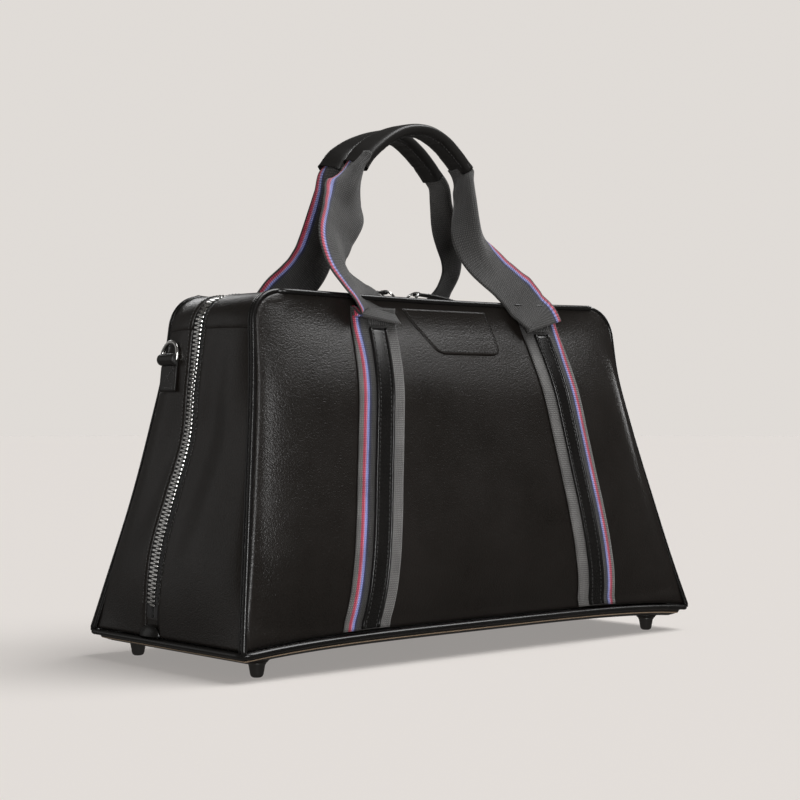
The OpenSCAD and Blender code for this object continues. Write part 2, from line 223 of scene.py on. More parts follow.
def leather(name, dark, light, rough, cell, grain):
    """Fine-grain leather: pebbles of the given cell size, faint creases and uneven polish."""
    look = Shader(name, Specular_IOR_Level=0.5, Coat_Weight=0.12, Coat_Roughness=0.22)
    fine = look.noise(2.2 / cell, Detail=3.0)
    patchy = look.noise(14.0, Detail=4.0, Roughness=0.6)
    polish = look.remap(patchy, rough - 0.05, rough + 0.06, 0.3, 0.7)
    pits = look.remap(fine, -0.04, 0.06, 0.35, 0.7)
    gaps = look.cell_distance(0.42 / cell, "DISTANCE_TO_EDGE")
    cracks = look.ramp(gaps, (0.0, (0, 0, 0)), (0.09, (1, 1, 1)))
    normal = look.bump(look.cell_distance(1 / cell, "F1"), grain, 0.22 * MM, invert=True)
    normal = look.bump(cracks, grain * 0.6, 0.12 * MM, normal)
    normal = look.bump(fine, grain * 0.5, 0.1 * MM, normal)
    return look.give(Base_Color=look.ramp(patchy, (0.3, dark), (0.7, light)),
                     Roughness=look.maths("ADD", polish, pits), Normal=normal)


def webbing_material():
    """Twill webbing with a woven red and blue stripe, and ribbed grey edges where it lies on the body."""
    look = Shader("webbing_mat", Roughness=0.6, Sheen_Weight=0.2, Sheen_Roughness=0.5,
                  Specular_IOR_Level=0.35)
    across, along = look.uv_axes()
    share = look.maths("MULTIPLY", across, 1 / WEBBING)
    ground, navy, rib = (0.034, 0.033, 0.032), (0.012, 0.018, 0.075), (0.135, 0.133, 0.13)
    red, pink, blue = (0.42, 0.035, 0.075), (0.62, 0.2, 0.28), (0.24, 0.27, 0.6)
    stripe = [(0.094, red), (0.125, red), (0.15, pink), (0.163, blue), (0.2, blue), (0.215, navy),
              (0.27, ground)]
    plain = look.ramp(share, (0.0, ground), (0.085, ground), *stripe)
    ribbed = look.ramp(share, (0.0, rib), (0.082, rib), *stripe, (0.73, ground), (0.745, rib))
    on_body = look.remap(along, 0.0, 1.0, TOP - 22 * MM, TOP - 50 * MM)
    colour = look.add("ShaderNodeMix", {0: on_body, 6: plain, 7: ribbed}, data_type="RGBA").outputs[2]
    twill = look.wave(look.maths("ADD", across, along), 2.0 * MM)
    weave = look.maths("MULTIPLY", twill, look.wave(along, 1.9 * MM))
    worn = look.remap(look.noise(60.0, Detail=4.0), 0.8, 1.2, 0.3, 0.7)
    tone = look.maths("MULTIPLY", look.remap(weave, 0.55, 2.0), worn)
    shade = look.add("ShaderNodeMix", {0: 1.0, 6: colour, 7: tone}, data_type="RGBA", blend_type="MULTIPLY")
    height = look.maths("MULTIPLY_ADD", look.wave(across, 1.5 * MM), 0.8, weave)
    return look.give(Base_Color=shade.outputs[2], Normal=look.bump(height, 0.8, 0.4 * MM))


def cloth_material(name, dark, light, pitch, rough=0.8):
    """Plain woven cloth, from UVs in metres."""
    look = Shader(name, Roughness=rough, Sheen_Weight=0.15, Specular_IOR_Level=0.25)
    across, along = look.uv_axes()
    over = look.maths("MULTIPLY", look.wave(across, pitch), look.wave(along, pitch))
    mixed = look.maths("MULTIPLY_ADD", look.noise(160.0), 0.5, over)
    return look.give(Base_Color=look.ramp(mixed, (0.1, dark), (0.8, light)),
                     Normal=look.bump(over, 0.6, 0.2 * MM))


def metal_material(name="nickel", colour=(0.74, 0.73, 0.71, 1)):
    look = Shader(name, Metallic=1.0, Base_Color=colour)
    return look.give(Roughness=look.remap(look.noise(260.0, Detail=3.0), 0.12, 0.3),
                     Normal=look.bump(look.noise(1400.0, Detail=2.0), 0.08, 0.05 * MM))


def thread_material():
    look = Shader("thread", Roughness=0.5, Sheen_Weight=0.3)
    dark, light = (0.01, 0.01, 0.01), (0.035, 0.034, 0.033)
    return look.give(Base_Color=look.ramp(look.noise(1500.0), (0.3, dark), (0.7, light)))


def board_material():
    look = Shader("fibreboard", Roughness=0.85)
    fibre = look.noise(500.0, Detail=5.0)
    return look.give(Base_Color=look.ramp(fibre, (0.3, (0.2, 0.14, 0.09)), (0.7, (0.34, 0.26, 0.18))),
                     Normal=look.bump(fibre, 0.4, 0.2 * MM))


PANEL_LEATHER = leather("panel_leather", (0.0085, 0.0068, 0.0055), (0.012, 0.0096, 0.008),
                        rough=0.33, cell=1.25 * MM, grain=0.75)
TRIM_LEATHER = leather("trim_leather", (0.0045, 0.0042, 0.004), (0.0075, 0.007, 0.0066),
                       rough=0.24, cell=0.8 * MM, grain=0.15)
STRIP_LEATHER = leather("strip_leather", (0.0085, 0.0078, 0.007), (0.0125, 0.0115, 0.0105),
                        rough=0.4, cell=0.8 * MM, grain=0.3)
WEB = webbing_material()
LINING = cloth_material("lining_cloth", (0.03, 0.028, 0.028), (0.085, 0.08, 0.08), 0.7 * MM)
TAPE = cloth_material("tape_cloth", (0.004, 0.004, 0.004), (0.02, 0.02, 0.021), 0.9 * MM, 0.7)
METAL = metal_material()
# a darker copy of the nickel for the feet: painted shade from the bag above them
SHADED_NICKEL = metal_material("nickel_painted_shade", (0.2, 0.195, 0.19, 1))
THREAD = thread_material()
BOARD = board_material()


def ride(obj, rides):
    """rides is a body, which the piece is attached to, or a pair of bodies, where the piece only has its
    transform baked.
    """
    if rides in WALL.values():
        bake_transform(obj)
    elif isinstance(rides, tuple):
        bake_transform(obj)
    else:
        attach(obj, rides)


def piece(name, verts, faces, mat, rides, slot, stands_for=(), uv=None, flat=False):
    """Makes one piece of the bag. stands_for names the CAD nodes that it replaces."""
    mesh = bpy.data.meshes.new(name)
    mesh.from_pydata([tuple(v) for v in verts], [], [tuple(f) for f in faces])
    if uv is not None:
        layer = mesh.uv_layers.new(name="UVMap")
        index = np.empty(len(mesh.loops), int)
        mesh.loops.foreach_get("vertex_index", index)
        layer.data.foreach_set("uv", np.asarray(uv, float)[index].ravel())
    mesh.polygons.foreach_set("use_smooth", [not flat] * len(mesh.polygons))
    bm = bmesh.new()
    bm.from_mesh(mesh)
    bmesh.ops.recalc_face_normals(bm, faces=bm.faces)
    bm.to_mesh(mesh)
    bm.free()
    mesh.materials.append(mat)
    obj = bpy.data.objects.new(name, mesh)
    bpy.context.scene.collection.objects.link(obj)
    ride(obj, rides)
    if stands_for:
        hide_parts(*stands_for)
    return obj


def cells(rows, cols, start=0, wrap_rows=False, wrap_cols=False):
    """Quads of a grid of vertices."""
    out = []
    for i in range(rows if wrap_rows else rows - 1):
        for j in range(cols if wrap_cols else cols - 1):
            a, b = (i % rows) * cols, ((i + 1) % rows) * cols
            k = (j + 1) % cols
            out.append((start + a + j, start + b + j, start + b + k, start + a + k))
    return out


def tube(rows, count):
    """Faces of a closed form made of rings of count points, with a face over each end."""
    last = (rows - 1) * count
    return cells(rows, count, wrap_cols=True) + [tuple(range(count)), tuple(range(last, last + count))]


def run_along(path):
    """Distance along a path at each of its points."""
    return np.concatenate([[0], np.cumsum(np.linalg.norm(np.diff(path, axis=0), axis=1))])


def read(at, run, values):
    """Values known at the distances run, read at the distances at."""
    return np.stack([np.interp(at, run, column) for column in values.T], 1)


def slab(outer, inner, bulge=0.35):
    """A closed sheet of leather between two grids, with soft edges. Gives vertices and faces."""
    rows, cols = outer.shape[:2]
    count = rows * cols
    verts = [outer.reshape(-1, 3), inner.reshape(-1, 3)]
    faces = cells(rows, cols) + [f[::-1] for f in cells(rows, cols, count)]
    rim = ([(0, j) for j in range(cols)] + [(i, cols - 1) for i in range(1, rows)]
           + [(rows - 1, j) for j in range(cols - 2, -1, -1)] + [(i, 0) for i in range(rows - 2, 0, -1)])
    middle = []
    for i, j in rim:
        ni, nj = min(max(i, 1), rows - 2), min(max(j, 1), cols - 2)
        out = unit(outer[i, j] - outer[ni, nj])
        thick = np.linalg.norm(outer[i, j] - inner[i, j])
        middle.append((outer[i, j] + inner[i, j]) / 2 + out * thick * bulge)
    verts.append(np.array(middle))
    n = len(rim)
    for k in range(n):
        a, b = rim[k], rim[(k + 1) % n]
        ka, kb = a[0] * cols + a[1], b[0] * cols + b[1]
        ma, mb = 2 * count + k, 2 * count + (k + 1) % n
        faces.append((ka, kb, mb, ma))
        faces.append((ma, mb, count + kb, count + ka))
    return np.concatenate(verts), faces


def frames_along(points, closed=False, start=None):
    """Two steady cross directions at each point of a path."""
    p = np.asarray(points, float)
    step = (np.roll(p, -1, 0) - np.roll(p, 1, 0)) if closed else np.gradient(p, axis=0)
    t = unit(step)
    side = np.array(start if start is not None else (0.0, 0.0, 1.0))
    if abs(side @ t[0]) > 0.95:
        side = np.array((0.0, 1.0, 0.0))
    out = []
    for tangent in t:
        side = unit(side - tangent * (side @ tangent))
        out.append(side)
    a = np.array(out)
    return a, np.cross(t, a)


def sweep(points, section, closed=False, start=None, scale=None):
    """Vertices and faces of a closed section (a, b) moved along a path, at a scale for each point."""
    a, b = frames_along(points, closed, start)
    p = np.asarray(points, float)
    section = np.asarray(section, float)
    size = np.ones(len(p)) if scale is None else np.asarray(scale)
    ring = (p[:, None] + a[:, None] * (section[None, :, :1] * size[:, None, None])
            + b[:, None] * (section[None, :, 1:] * size[:, None, None]))
    n, m = len(p), len(section)
    faces = cells(n, m, wrap_rows=closed, wrap_cols=True)
    if not closed:
        faces += [tuple(range(m))[::-1], tuple(range((n - 1) * m, n * m))]
    return ring.reshape(-1, 3), faces


def circle(radius, count=12, squash=1.0):
    turn = np.arange(count) * 2 * math.pi / count
    return np.stack([radius * np.cos(turn), radius * squash * np.sin(turn)], 1)


def join(parts):
    """Joins (verts, faces) lists into one."""
    verts, faces, start = [], [], 0
    for v, f in parts:
        verts.append(np.asarray(v))
        faces += [tuple(i + start for i in face) for face in f]
        start += len(v)
    return np.concatenate(verts), faces


def resample(points, spacing=None, count=None):
    """Evenly spaced points along a path."""
    p = np.asarray(points, float)
    run = run_along(p)
    return read(np.linspace(0, run[-1], count or max(2, int(round(run[-1] / spacing)) + 1)), run, p)


def scatter(template, faces, centres, x_dirs, y_dirs, z_dirs):
    """Copies of a small template at many frames, as one mesh."""
    template = np.asarray(template)
    verts = (centres[:, None] + x_dirs[:, None] * template[None, :, :1]
             + y_dirs[:, None] * template[None, :, 1:2] + z_dirs[:, None] * template[None, :, 2:])
    n = len(template)
    out = [tuple(i + k * n for i in f) for k in range(len(centres)) for f in faces]
    return verts.reshape(-1, 3), out


def stitch_parts(path, normals, length=2.6 * MM, gap=1.2 * MM, radius=0.34 * MM):
    """Thread stitches along a path that lies on a surface."""
    joined = np.concatenate([np.asarray(path), np.asarray(normals)], 1)
    p = np.asarray(path, float)
    run = run_along(p)
    count = max(1, int(run[-1] / (length + gap)))
    s = (np.arange(count) + 0.5) * run[-1] / count
    at = read(s, run, joined)
    x = unit(read(s + 0.4 * MM, run, p) - read(s - 0.4 * MM, run, p))
    z = unit(at[:, 3:] - x * np.sum(at[:, 3:] * x, 1, keepdims=True))
    turn = np.arange(6) * math.pi / 3
    ring = np.stack([np.zeros(6), np.cos(turn) * radius, np.sin(turn) * radius], 1)
    half = length / 2
    rings = [ring + [-half * 0.72, 0, 0], ring + [0, 0, radius * 0.5], ring + [half * 0.72, 0, 0]]
    template = np.concatenate([[[-half, 0, -radius]], *rings, [[half, 0, -radius]]])
    faces = [(0, 1 + (k + 1) % 6, 1 + k) for k in range(6)]
    for band in (1, 7):
        faces += [(band + k, band + (k + 1) % 6, band + 6 + (k + 1) % 6, band + 6 + k) for k in range(6)]
    faces += [(19, 13 + k, 13 + (k + 1) % 6) for k in range(6)]
    return scatter(template, faces, at[:, :3], x, np.cross(z, x), z)


class Sheet:
    """A smooth surface through a grid of points, read at row and column numbers."""

    def __init__(self, points, outward):
        self.points = points
        across = np.gradient(points, axis=1)
        along = np.gradient(points, axis=0)
        normal = unit(np.cross(across, along))
        centre = normal[points.shape[0] // 2, points.shape[1] // 2]
        self.normals = normal if centre @ np.asarray(outward) > 0 else -normal

    @staticmethod
    def _weights(t):
        return np.stack([-0.5 * t + t**2 - 0.5 * t**3, 1 - 2.5 * t**2 + 1.5 * t**3,
                         0.5 * t + 2 * t**2 - 1.5 * t**3, -0.5 * t**2 + 0.5 * t**3])

    def at(self, row, col, lift=0.0):
        row, col = np.broadcast_arrays(np.asarray(row, float), np.asarray(col, float))
        rows, cols = self.points.shape[:2]
        i = np.clip(np.floor(row).astype(int), 0, rows - 2)
        j = np.clip(np.floor(col).astype(int), 0, cols - 2)
        wr, wc = self._weights(row - i), self._weights(col - j)
        place = np.zeros(row.shape + (3,))
        normal = np.zeros(row.shape + (3,))
        for a in range(4):
            for b in range(4):
                ia, jb = np.clip(i + a - 1, 0, rows - 1), np.clip(j + b - 1, 0, cols - 1)
                w = (wr[a] * wc[b])[..., None]
                place += w * self.points[ia, jb]
                normal += w * self.normals[ia, jb]
        normal = unit(normal)
        return place + normal * np.asarray(lift)[..., None], normal


# ---------------------------------------------------------------- shape of the body
ARC_Z = TOP - CORNER
ARC_X = half_len(ARC_Z) - CORNER / math.cos(END_LEAN)
straight = np.linspace(0, 1, 50) ** 1.12 * (ARC_Z + CORNER * math.sin(END_LEAN) - PANEL_FOOT) + PANEL_FOOT
turn = np.linspace(END_LEAN, math.pi / 2, 15)[1:]
ROW_Z = np.concatenate([straight, ARC_Z + CORNER * np.sin(turn)])
ROW_X = np.concatenate([half_len(straight), ARC_X + CORNER * np.cos(turn)])
COL_U = np.sin(np.linspace(-1.3, 1.3, 101)) / math.sin(1.3)
# How far the middle of a panel stands out from its nominal plane, by height
SWELL = smooth_curve([(0.024, -0.003), (0.03, 0.001), (0.04, 0.0062), (0.055, 0.0108), (0.08, 0.015),
                      (0.115, 0.0178), (0.155, 0.0185), (0.2, 0.0185), (0.235, 0.0175), (0.27, 0.011),
                      (0.295, 0.0045), (0.31, 0.0015)])
CAVE = {  # how far each upright edge leans in along X
    ("front", -1): smooth_curve([(0.024, 0), (0.13, 0.0025), (0.25, 0.003), (0.31, 0.0)]),
    ("front", 1): smooth_curve([(0.024, 0), (0.07, 0.006), (0.13, 0.011), (0.2, 0.0155), (0.25, 0.016),
                                (0.285, 0.010), (0.31, 0.006)]),
    ("back", -1): smooth_curve([(0.024, 0.0), (0.06, 0.003), (0.13, 0.0085), (0.2, 0.0095), (0.25, 0.0085),
                                (0.285, 0.004), (0.31, 0.0)]),
    ("back", 1): smooth_curve([(0.024, 0), (0.13, 0.006), (0.22, 0.009), (0.31, 0.004)]),
}
# How far each end swells outwards along its middle
END_SWELL = {-1: smooth_curve([(0.024, 0), (0.05, 0.006), (0.09, 0.0105), (0.14, 0.007), (0.19, 0.002),
                               (0.235, 0.007), (0.262, 0.0076), (0.287, 0.0068), (0.303, 0.0035),
                               (0.31, 0.0005)]),
             1: smooth_curve([(0.024, 0), (0.06, 0.007), (0.1, 0.01), (0.16, 0.005), (0.2, 0.001),
                              (0.25, 0.006), (0.29, 0.003), (0.31, 0.0)])}


def tuck(z):
    """How far the panels' upright edges are drawn in towards the middle."""
    return 0.011 * np.clip((z - SEAM) / (TOP - SEAM), 0, 1) ** 0.8


def arch(x):
    """Rise of the base between its ends."""
    return 0.0068 * np.clip(1 - np.abs(x / HALF_L) ** 4, 0, 1)


def panel_grid(face):
    """Grid of points of the front or back panel, rows from its foot to its top."""
    side = SIDES[face]
    z, a = ROW_Z[:, None], ROW_X[:, None]
    u = COL_U[None, :]
    x = u * a + CAVE[face, -1](z) * np.clip(-u, 0, 1) ** 3 - CAVE[face, 1](z) * np.clip(u, 0, 1) ** 3
    fullness = 1.04 * np.sqrt(1 - np.abs(u) ** 5)
    low = -0.0008 * np.sin(u * 5 + 1.0) * np.sin(z * 31) * (1 - u**2)
    out = -tuck(z) + (SWELL(z) + tuck(z)) * fullness + low * ease(0.03, 0.08, z) * (1 - ease(0.26, 0.3, z))
    y = side * (half_depth(z) + out)
    drop = 0.003 * (1 - u**2) * ease(0.2, TOP, z)
    lift = arch(x) * (1 - ease(0.03, 0.2, z))
    return np.stack(np.broadcast_arrays(x, y, z + lift - drop), -1)


def settle(points, name, limit=5 * MM):
    """Lets the panel's leather sag by gravity from its pinned edges, each point by less than limit."""
    rows, cols = points.shape[:2]
    mesh = bpy.data.meshes.new(name)
    mesh.from_pydata(points.reshape(-1, 3).tolist(), [], cells(rows, cols))
    obj = bpy.data.objects.new(name, mesh)
    bpy.context.scene.collection.objects.link(obj)
    group = obj.vertex_groups.new(name="pinned")
    held = np.zeros((rows, cols), bool)
    held[:2], held[-2:], held[:, :2], held[:, -2:] = True, True, True, True
    group.add(np.flatnonzero(held.ravel()).tolist(), 1.0, "REPLACE")
    cloth = obj.modifiers.new("cloth", "CLOTH")
    cloth.settings.quality = 6
    cloth.settings.mass = 0.6
    cloth.settings.tension_stiffness = 25
    cloth.settings.compression_stiffness = 25
    cloth.settings.shear_stiffness = 12
    cloth.settings.bending_stiffness = 6
    cloth.settings.vertex_group_mass = "pinned"
    cloth.collision_settings.use_collision = False
    scene = bpy.context.scene
    frames = 24
    cloth.point_cache.frame_start, cloth.point_cache.frame_end = 1, frames
    for number in range(1, frames + 1):
        scene.frame_set(number)
    shape = obj.evaluated_get(bpy.context.evaluated_depsgraph_get()).data
    moved = np.empty(rows * cols * 3)
    shape.vertices.foreach_get("co", moved)
    scene.frame_set(1)
    bpy.data.objects.remove(obj)
    bpy.data.meshes.remove(mesh)
    change = moved.reshape(rows, cols, 3) - points
    size = np.linalg.norm(change, axis=-1, keepdims=True)
    change *= limit * np.tanh(size / limit) / np.maximum(size, 1e-9)
    for _ in range(3):
        around = (change[:-2, 1:-1] + change[2:, 1:-1] + change[1:-1, :-2] + change[1:-1, 2:]) / 4
        change[1:-1, 1:-1] = 0.5 * change[1:-1, 1:-1] + 0.5 * around
    return points + change


edges = {face: panel_grid(face) for face in SIDES}
PANEL = {face: Sheet(settle(edges[face], face + "_settle"), (0, side, 0)) for face, side in SIDES.items()}


def on_panel(face, x, z, lift=0.0):
    """Points on a panel at the nominal place (x, z), raised by lift, with normals."""
    row = np.interp(z, ROW_Z, np.arange(len(ROW_Z)))
    width = np.interp(z, ROW_Z, ROW_X)
    col = np.interp(np.asarray(x) / width, COL_U, np.arange(len(COL_U)))
    return PANEL[face].at(row, col, lift)


def edge_line(face):
    """The panel's edge from its lower left corner over the top to its lower right corner."""
    grid = edges[face]
    return np.concatenate([grid[:, 0], grid[-1, 1:-1], grid[::-1, -1]])


FRONT_EDGE, BACK_EDGE = edge_line("front"), edge_line("back")
LINE_Z = np.concatenate([ROW_Z, np.full(len(COL_U) - 2, TOP), ROW_Z[::-1]])
LINE_X = np.concatenate([-ROW_X, COL_U[1:-1] * ROW_X[-1], ROW_X[::-1]])
LINE_END = np.sign(LINE_X + 1e-9)
slope = np.gradient(np.stack([LINE_X, LINE_Z], 1), axis=0)
LINE_OUT = unit(np.stack([-slope[:, 1], np.zeros(len(slope)), slope[:, 0]], 1))
ACROSS = np.linspace(-1, 1, 41)


def ring_grid():
    """The two ends and the top as one grid: rows along the outline, columns from front to back."""
    w = (ACROSS[None, :, None] + 1) / 2
    grid = FRONT_EDGE[:, None] * (1 - w) + BACK_EDGE[:, None] * w
    swell = np.where(LINE_END < 0, END_SWELL[-1](LINE_Z), END_SWELL[1](LINE_Z))
    sag = np.where(LINE_Z > TOP - 1e-6, -0.0035 * (1 - (LINE_X / ROW_X[-1]) ** 20), 0)
    hollow = (swell + sag)[:, None] * (1 - np.abs(ACROSS[None]) ** 2.4)
    height = ease(0.03, 0.09, LINE_Z) * (1 - ease(0.25, 0.305, LINE_Z))
    beside = np.abs(ACROSS) ** 1.2 * (1 - ACROSS**6) ** 0.6 * np.where(ACROSS > 0, 0.0075, 0.0035)
    hollow = hollow + height[:, None] * beside[None]
    dimple = -0.0012 * np.sin(9 * ACROSS[None] + LINE_Z[:, None] * 21) * (1 - ACROSS[None] ** 2)
    dimple = dimple * ease(0.05, 0.12, LINE_Z)[:, None] * (1 - ease(0.24, 0.3, LINE_Z))[:, None]
    return grid + LINE_OUT[:, None] * (hollow + dimple)[..., None]


RING = Sheet(ring_grid(), (0, 0, 1))
zip_share = (zip_y(LINE_Z) - FRONT_EDGE[:, 1]) / (BACK_EDGE[:, 1] - FRONT_EDGE[:, 1]) * 2 - 1
ring_width = BACK_EDGE[:, 1] - FRONT_EDGE[:, 1]


def on_ring(rows, off, lift=0.0):
    """Points on the ends and top, at a distance off in Y from the middle of the zip."""
    index = np.arange(len(LINE_Z))
    share = np.interp(rows, index, zip_share) + 2 * np.asarray(off) / np.interp(rows, index, ring_width)
    return RING.at(rows, np.interp(share, ACROSS, np.arange(len(ACROSS))), lift)


def row_at(z, end):
    """Row of the ring at height z on the left (-1) or right (1) end."""
    row = np.interp(z, ROW_Z, np.arange(len(ROW_Z)))
    return row if end < 0 else len(LINE_Z) - 1 - row


# ---------------------------------------------------------------- leather of the body
def panel(face):
    sheet = PANEL[face]
    verts, faces = slab(sheet.points, sheet.points - sheet.normals * LEATHER)
    piece(f"{face}_panel_leather", verts, faces, PANEL_LEATHER, WALL[face], "black_leather",
          (f"{face}_panel",))


def ring_part(name, face, first, last, count, lift=0.0):
    """A stretch of the leather round the ends and top, from the panel's edge to the zip."""
    rows = np.linspace(first, last, count)
    share = np.linspace(0, 1, 22)
    index = np.arange(len(LINE_Z))
    zip_at = np.interp(rows, index, zip_share)
    gap = 2 * SLOT / np.interp(rows, index, ring_width)
    if face == "front":
        col = -1 + share[None] * (zip_at - gap + 1)[:, None]
    else:
        col = 1 - share[None] * (1 - zip_at - gap)[:, None]
    cols = np.interp(col, ACROSS, np.arange(len(ACROSS)))
    edge = np.abs(share[None] - 1)
    roll = -0.9 * MM * np.clip(1 - edge * 22, 0, 1) ** 2
    outer, normals = RING.at(rows[:, None], cols, lift + roll)
    verts, faces = slab(outer, outer - normals * (LEATHER - 1 * MM))
    piece(f"{name}_leather", verts, faces, PANEL_LEATHER, WALL[face], "black_leather", (name,))


def body_leather():
    for face in SIDES:
        panel(face)
        ring_part(f"{face}_top_band", face, row_at(BAND, -1), row_at(BAND, 1), 150, 0.8 * MM)
        for word, end in ENDS.items():
            ring_part(f"{face}_{word}_gusset", face, row_at(PANEL_FOOT, end), row_at(BAND + 4 * MM, end), 70)
    for word, end in ENDS.items():
        z = np.linspace(PANEL_FOOT, SEAM + 15 * MM, 12)
        off = np.linspace(-SLOT - 4 * MM, SLOT + 4 * MM, 16)
        outer, n = on_ring(row_at(z, end)[:, None], off[None], -2.2 * MM + 0 * z[:, None])
        verts, faces = slab(outer, outer - n * 2.2 * MM)
        piece(f"{word}_gusset_foot_leather", verts, faces, PANEL_LEATHER, "base", "black_leather",
              (f"{word}_gusset_foot",))


def to_base(line):
    """The line with both of its ends carried down to the base's piping."""
    drop = np.array([0, 0, 3 * MM])
    return np.concatenate([line[:1] - drop, line, line[-1:] - drop])


def piping():
    for face, side in SIDES.items():
        line = FRONT_EDGE if face == "front" else BACK_EDGE
        proud = np.where((LINE_Z > TOP - 1e-6) | (LINE_END * side > 0), 1.2 * MM, 0.2 * MM)
        out = LINE_OUT * proud[:, None] + np.array([0, side * 1.0 * MM, 0])
        path = resample(to_base(line + out), spacing=3 * MM)
        cord = sweep(path, circle(2.4 * MM, 14), start=(0, 1, 0))
        inner = to_base(line + LINE_OUT * 1.2 * MM - np.array([0, side * 3.6 * MM, 0]))
        welt = sweep(resample(inner, spacing=4 * MM), circle(2.0 * MM, 10, 0.8), start=(0, 1, 0))
        verts, faces = join([cord, welt])
        piece(f"{face}_piping_cord", verts, faces, TRIM_LEATHER, WALL[face], "black_leather",
              (f"{face}_piping",))


def rounded_rectangle(inset, count=10, run=36):
    """Points round the base, inset from its outline."""
    radius = max(7 * MM - inset, 1.5 * MM)
    x, y = HALF_L - inset - radius, HALF_D - inset - radius
    points = []
    corners = ((x, y, 0), (-x, y, 90), (-x, -y, 180), (x, -y, 270))
    for k, (cx, cy, first) in enumerate(corners):
        for step in range(count + 1):
            angle = math.radians(first + 90 * step / count)
            points.append((cx + radius * math.cos(angle), cy + radius * math.sin(angle)))
        nx, ny, nfirst = corners[(k + 1) % 4]
        angle = math.radians(nfirst)
        goal = (nx + radius * math.cos(angle), ny + radius * math.sin(angle))
        start = points[-1]
        steps = run if k % 2 == 0 else run // 2
        for step in range(1, steps):
            s = step / steps
            points.append((start[0] * (1 - s) + goal[0] * s, start[1] * (1 - s) + goal[1] * s))
    return np.array(points)


def loops_mesh(levels):
    """A closed form from loops round the base: levels are (inset, z), arched along X."""
    rings = []
    for inset, z in levels:
        xy = rounded_rectangle(inset)
        rings.append(np.column_stack([xy, z + arch(xy[:, 0])]))
    m = len(rings[0])
    verts = np.concatenate(rings)
    faces = cells(len(rings), m, wrap_cols=True)
    half = m // 2
    for base in (0, (len(rings) - 1) * m):
        # strips across the base keep its arch
        order = [(base + i, base + (m - 1 - i) % m) for i in range(half)]
        for (a, b), (c, d) in zip(order, order[1:]):
            faces.append(tuple(dict.fromkeys((a, c, d, b))))
    return verts, faces


def base_pieces():
    tray = [(18 * MM, RIM), (11 * MM, RIM + 0.4 * MM), (6.5 * MM, RIM + 2.6 * MM), (3 * MM, RIM + 5.6 * MM),
            (1 * MM, RIM + 8.4 * MM), (0.4 * MM, RIM + 10.4 * MM), (1.4 * MM, RIM + 11.2 * MM),
            (LEATHER, RIM + 11 * MM), (LEATHER + 0.5 * MM, RIM + LEATHER + 1.5 * MM),
            (6 * MM, RIM + LEATHER), (11 * MM, RIM + LEATHER)]
    parts = [loops_mesh(tray)]
    for node in frame["nodes"]:
        if node.startswith("foot_"):
            lo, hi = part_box(node)
            x, y = (lo.x + hi.x) / 2, (lo.y + hi.y) / 2
            boss = np.array([(x, y, RIM + 0.05 * MM), (x, y, RIM + 1.4 * MM), (x, y, RIM + 3.2 * MM)])
            parts.append(sweep(boss, circle(9.5 * MM, 20), scale=[0.9, 1, 1.25]))
    verts, faces = join(parts)
    piece("base_tray", verts, faces, PANEL_LEATHER, "base", "black_leather", ("base_panel",))
    xy = rounded_rectangle(-PIPE - 0.1 * MM)
    path = np.column_stack([xy, SEAM - PIPE - 0.4 * MM + arch(xy[:, 0])])
    verts, faces = sweep(path, circle(PIPE, 14), closed=True)
    piece("base_piping_cord", verts, faces, TRIM_LEATHER, "base", "black_leather", ("base_piping",))
    low = RIM + LEATHER + 0.2 * MM
    verts, faces = loops_mesh([(5 * MM, low), (4 * MM, low + 0.5 * MM), (4 * MM, low + 2 * MM),
                               (5 * MM, low + 2.5 * MM)])
    piece("base_stiffener", verts, faces, BOARD, "base", "base_board", ("base_board",))
    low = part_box("base_lining")[0].z
    verts, faces = loops_mesh([(5 * MM, low), (3.8 * MM, low + 0.4 * MM), (5 * MM, low + 0.8 * MM)])
    obj = piece("base_lining_cloth", verts, faces, LINING, "base", "lining", ("base_lining",),
                uv=verts[:, :2])
    for node, obj in frame["nodes"].items():
        if node.startswith(("foot_", "washer_")) or node.endswith(("d_ring", "pull_ring")):
            obj.data.materials.clear()
            # the feet get the darker copy of the nickel: painted shade under the bag
            obj.data.materials.append(SHADED_NICKEL if node.startswith("foot_") else METAL)


# ---------------------------------------------------------------- straps, overlays and patch
def strip_on_panel(face, centre, half, heights, profile):
    """A strip that runs up a panel. profile is a closed loop of (share across, height)."""
    z = np.asarray(heights)
    profile = np.asarray(profile)
    x = centre[:, None] + half * profile[None, :, 0]
    points, _ = on_panel(face, x, np.broadcast_to(z[:, None], x.shape), profile[None, :, 1] + 0 * x)
    return points.reshape(-1, 3), tube(*x.shape)


def flat_profile(thick, low=PANEL_LIFT, count=25, edge=0.03):
    top = [(s, low + thick) for s in np.linspace(-1 + edge, 1 - edge, count)]
    return [(-1, low + thick * 0.5)] + top + [(1, low + thick * 0.5)] + \
        [(s, low) for s in np.linspace(1 - edge, -1 + edge, count)]


def strap_uv(end, profile, heights):
    """Across from the strap's outer edge, along in metres. The stripe runs to the edge near the top."""
    across = (1 - end * np.asarray(profile)[:, 0]) * WEBBING / 2
    shift = STRIPE_SHIFT * ease(TOP - 60 * MM, TOP - 14 * MM, np.asarray(heights))
    both = np.broadcast_arrays(across[None] + shift[:, None], np.asarray(heights)[:, None])
    return np.stack(both, -1).reshape(-1, 2)


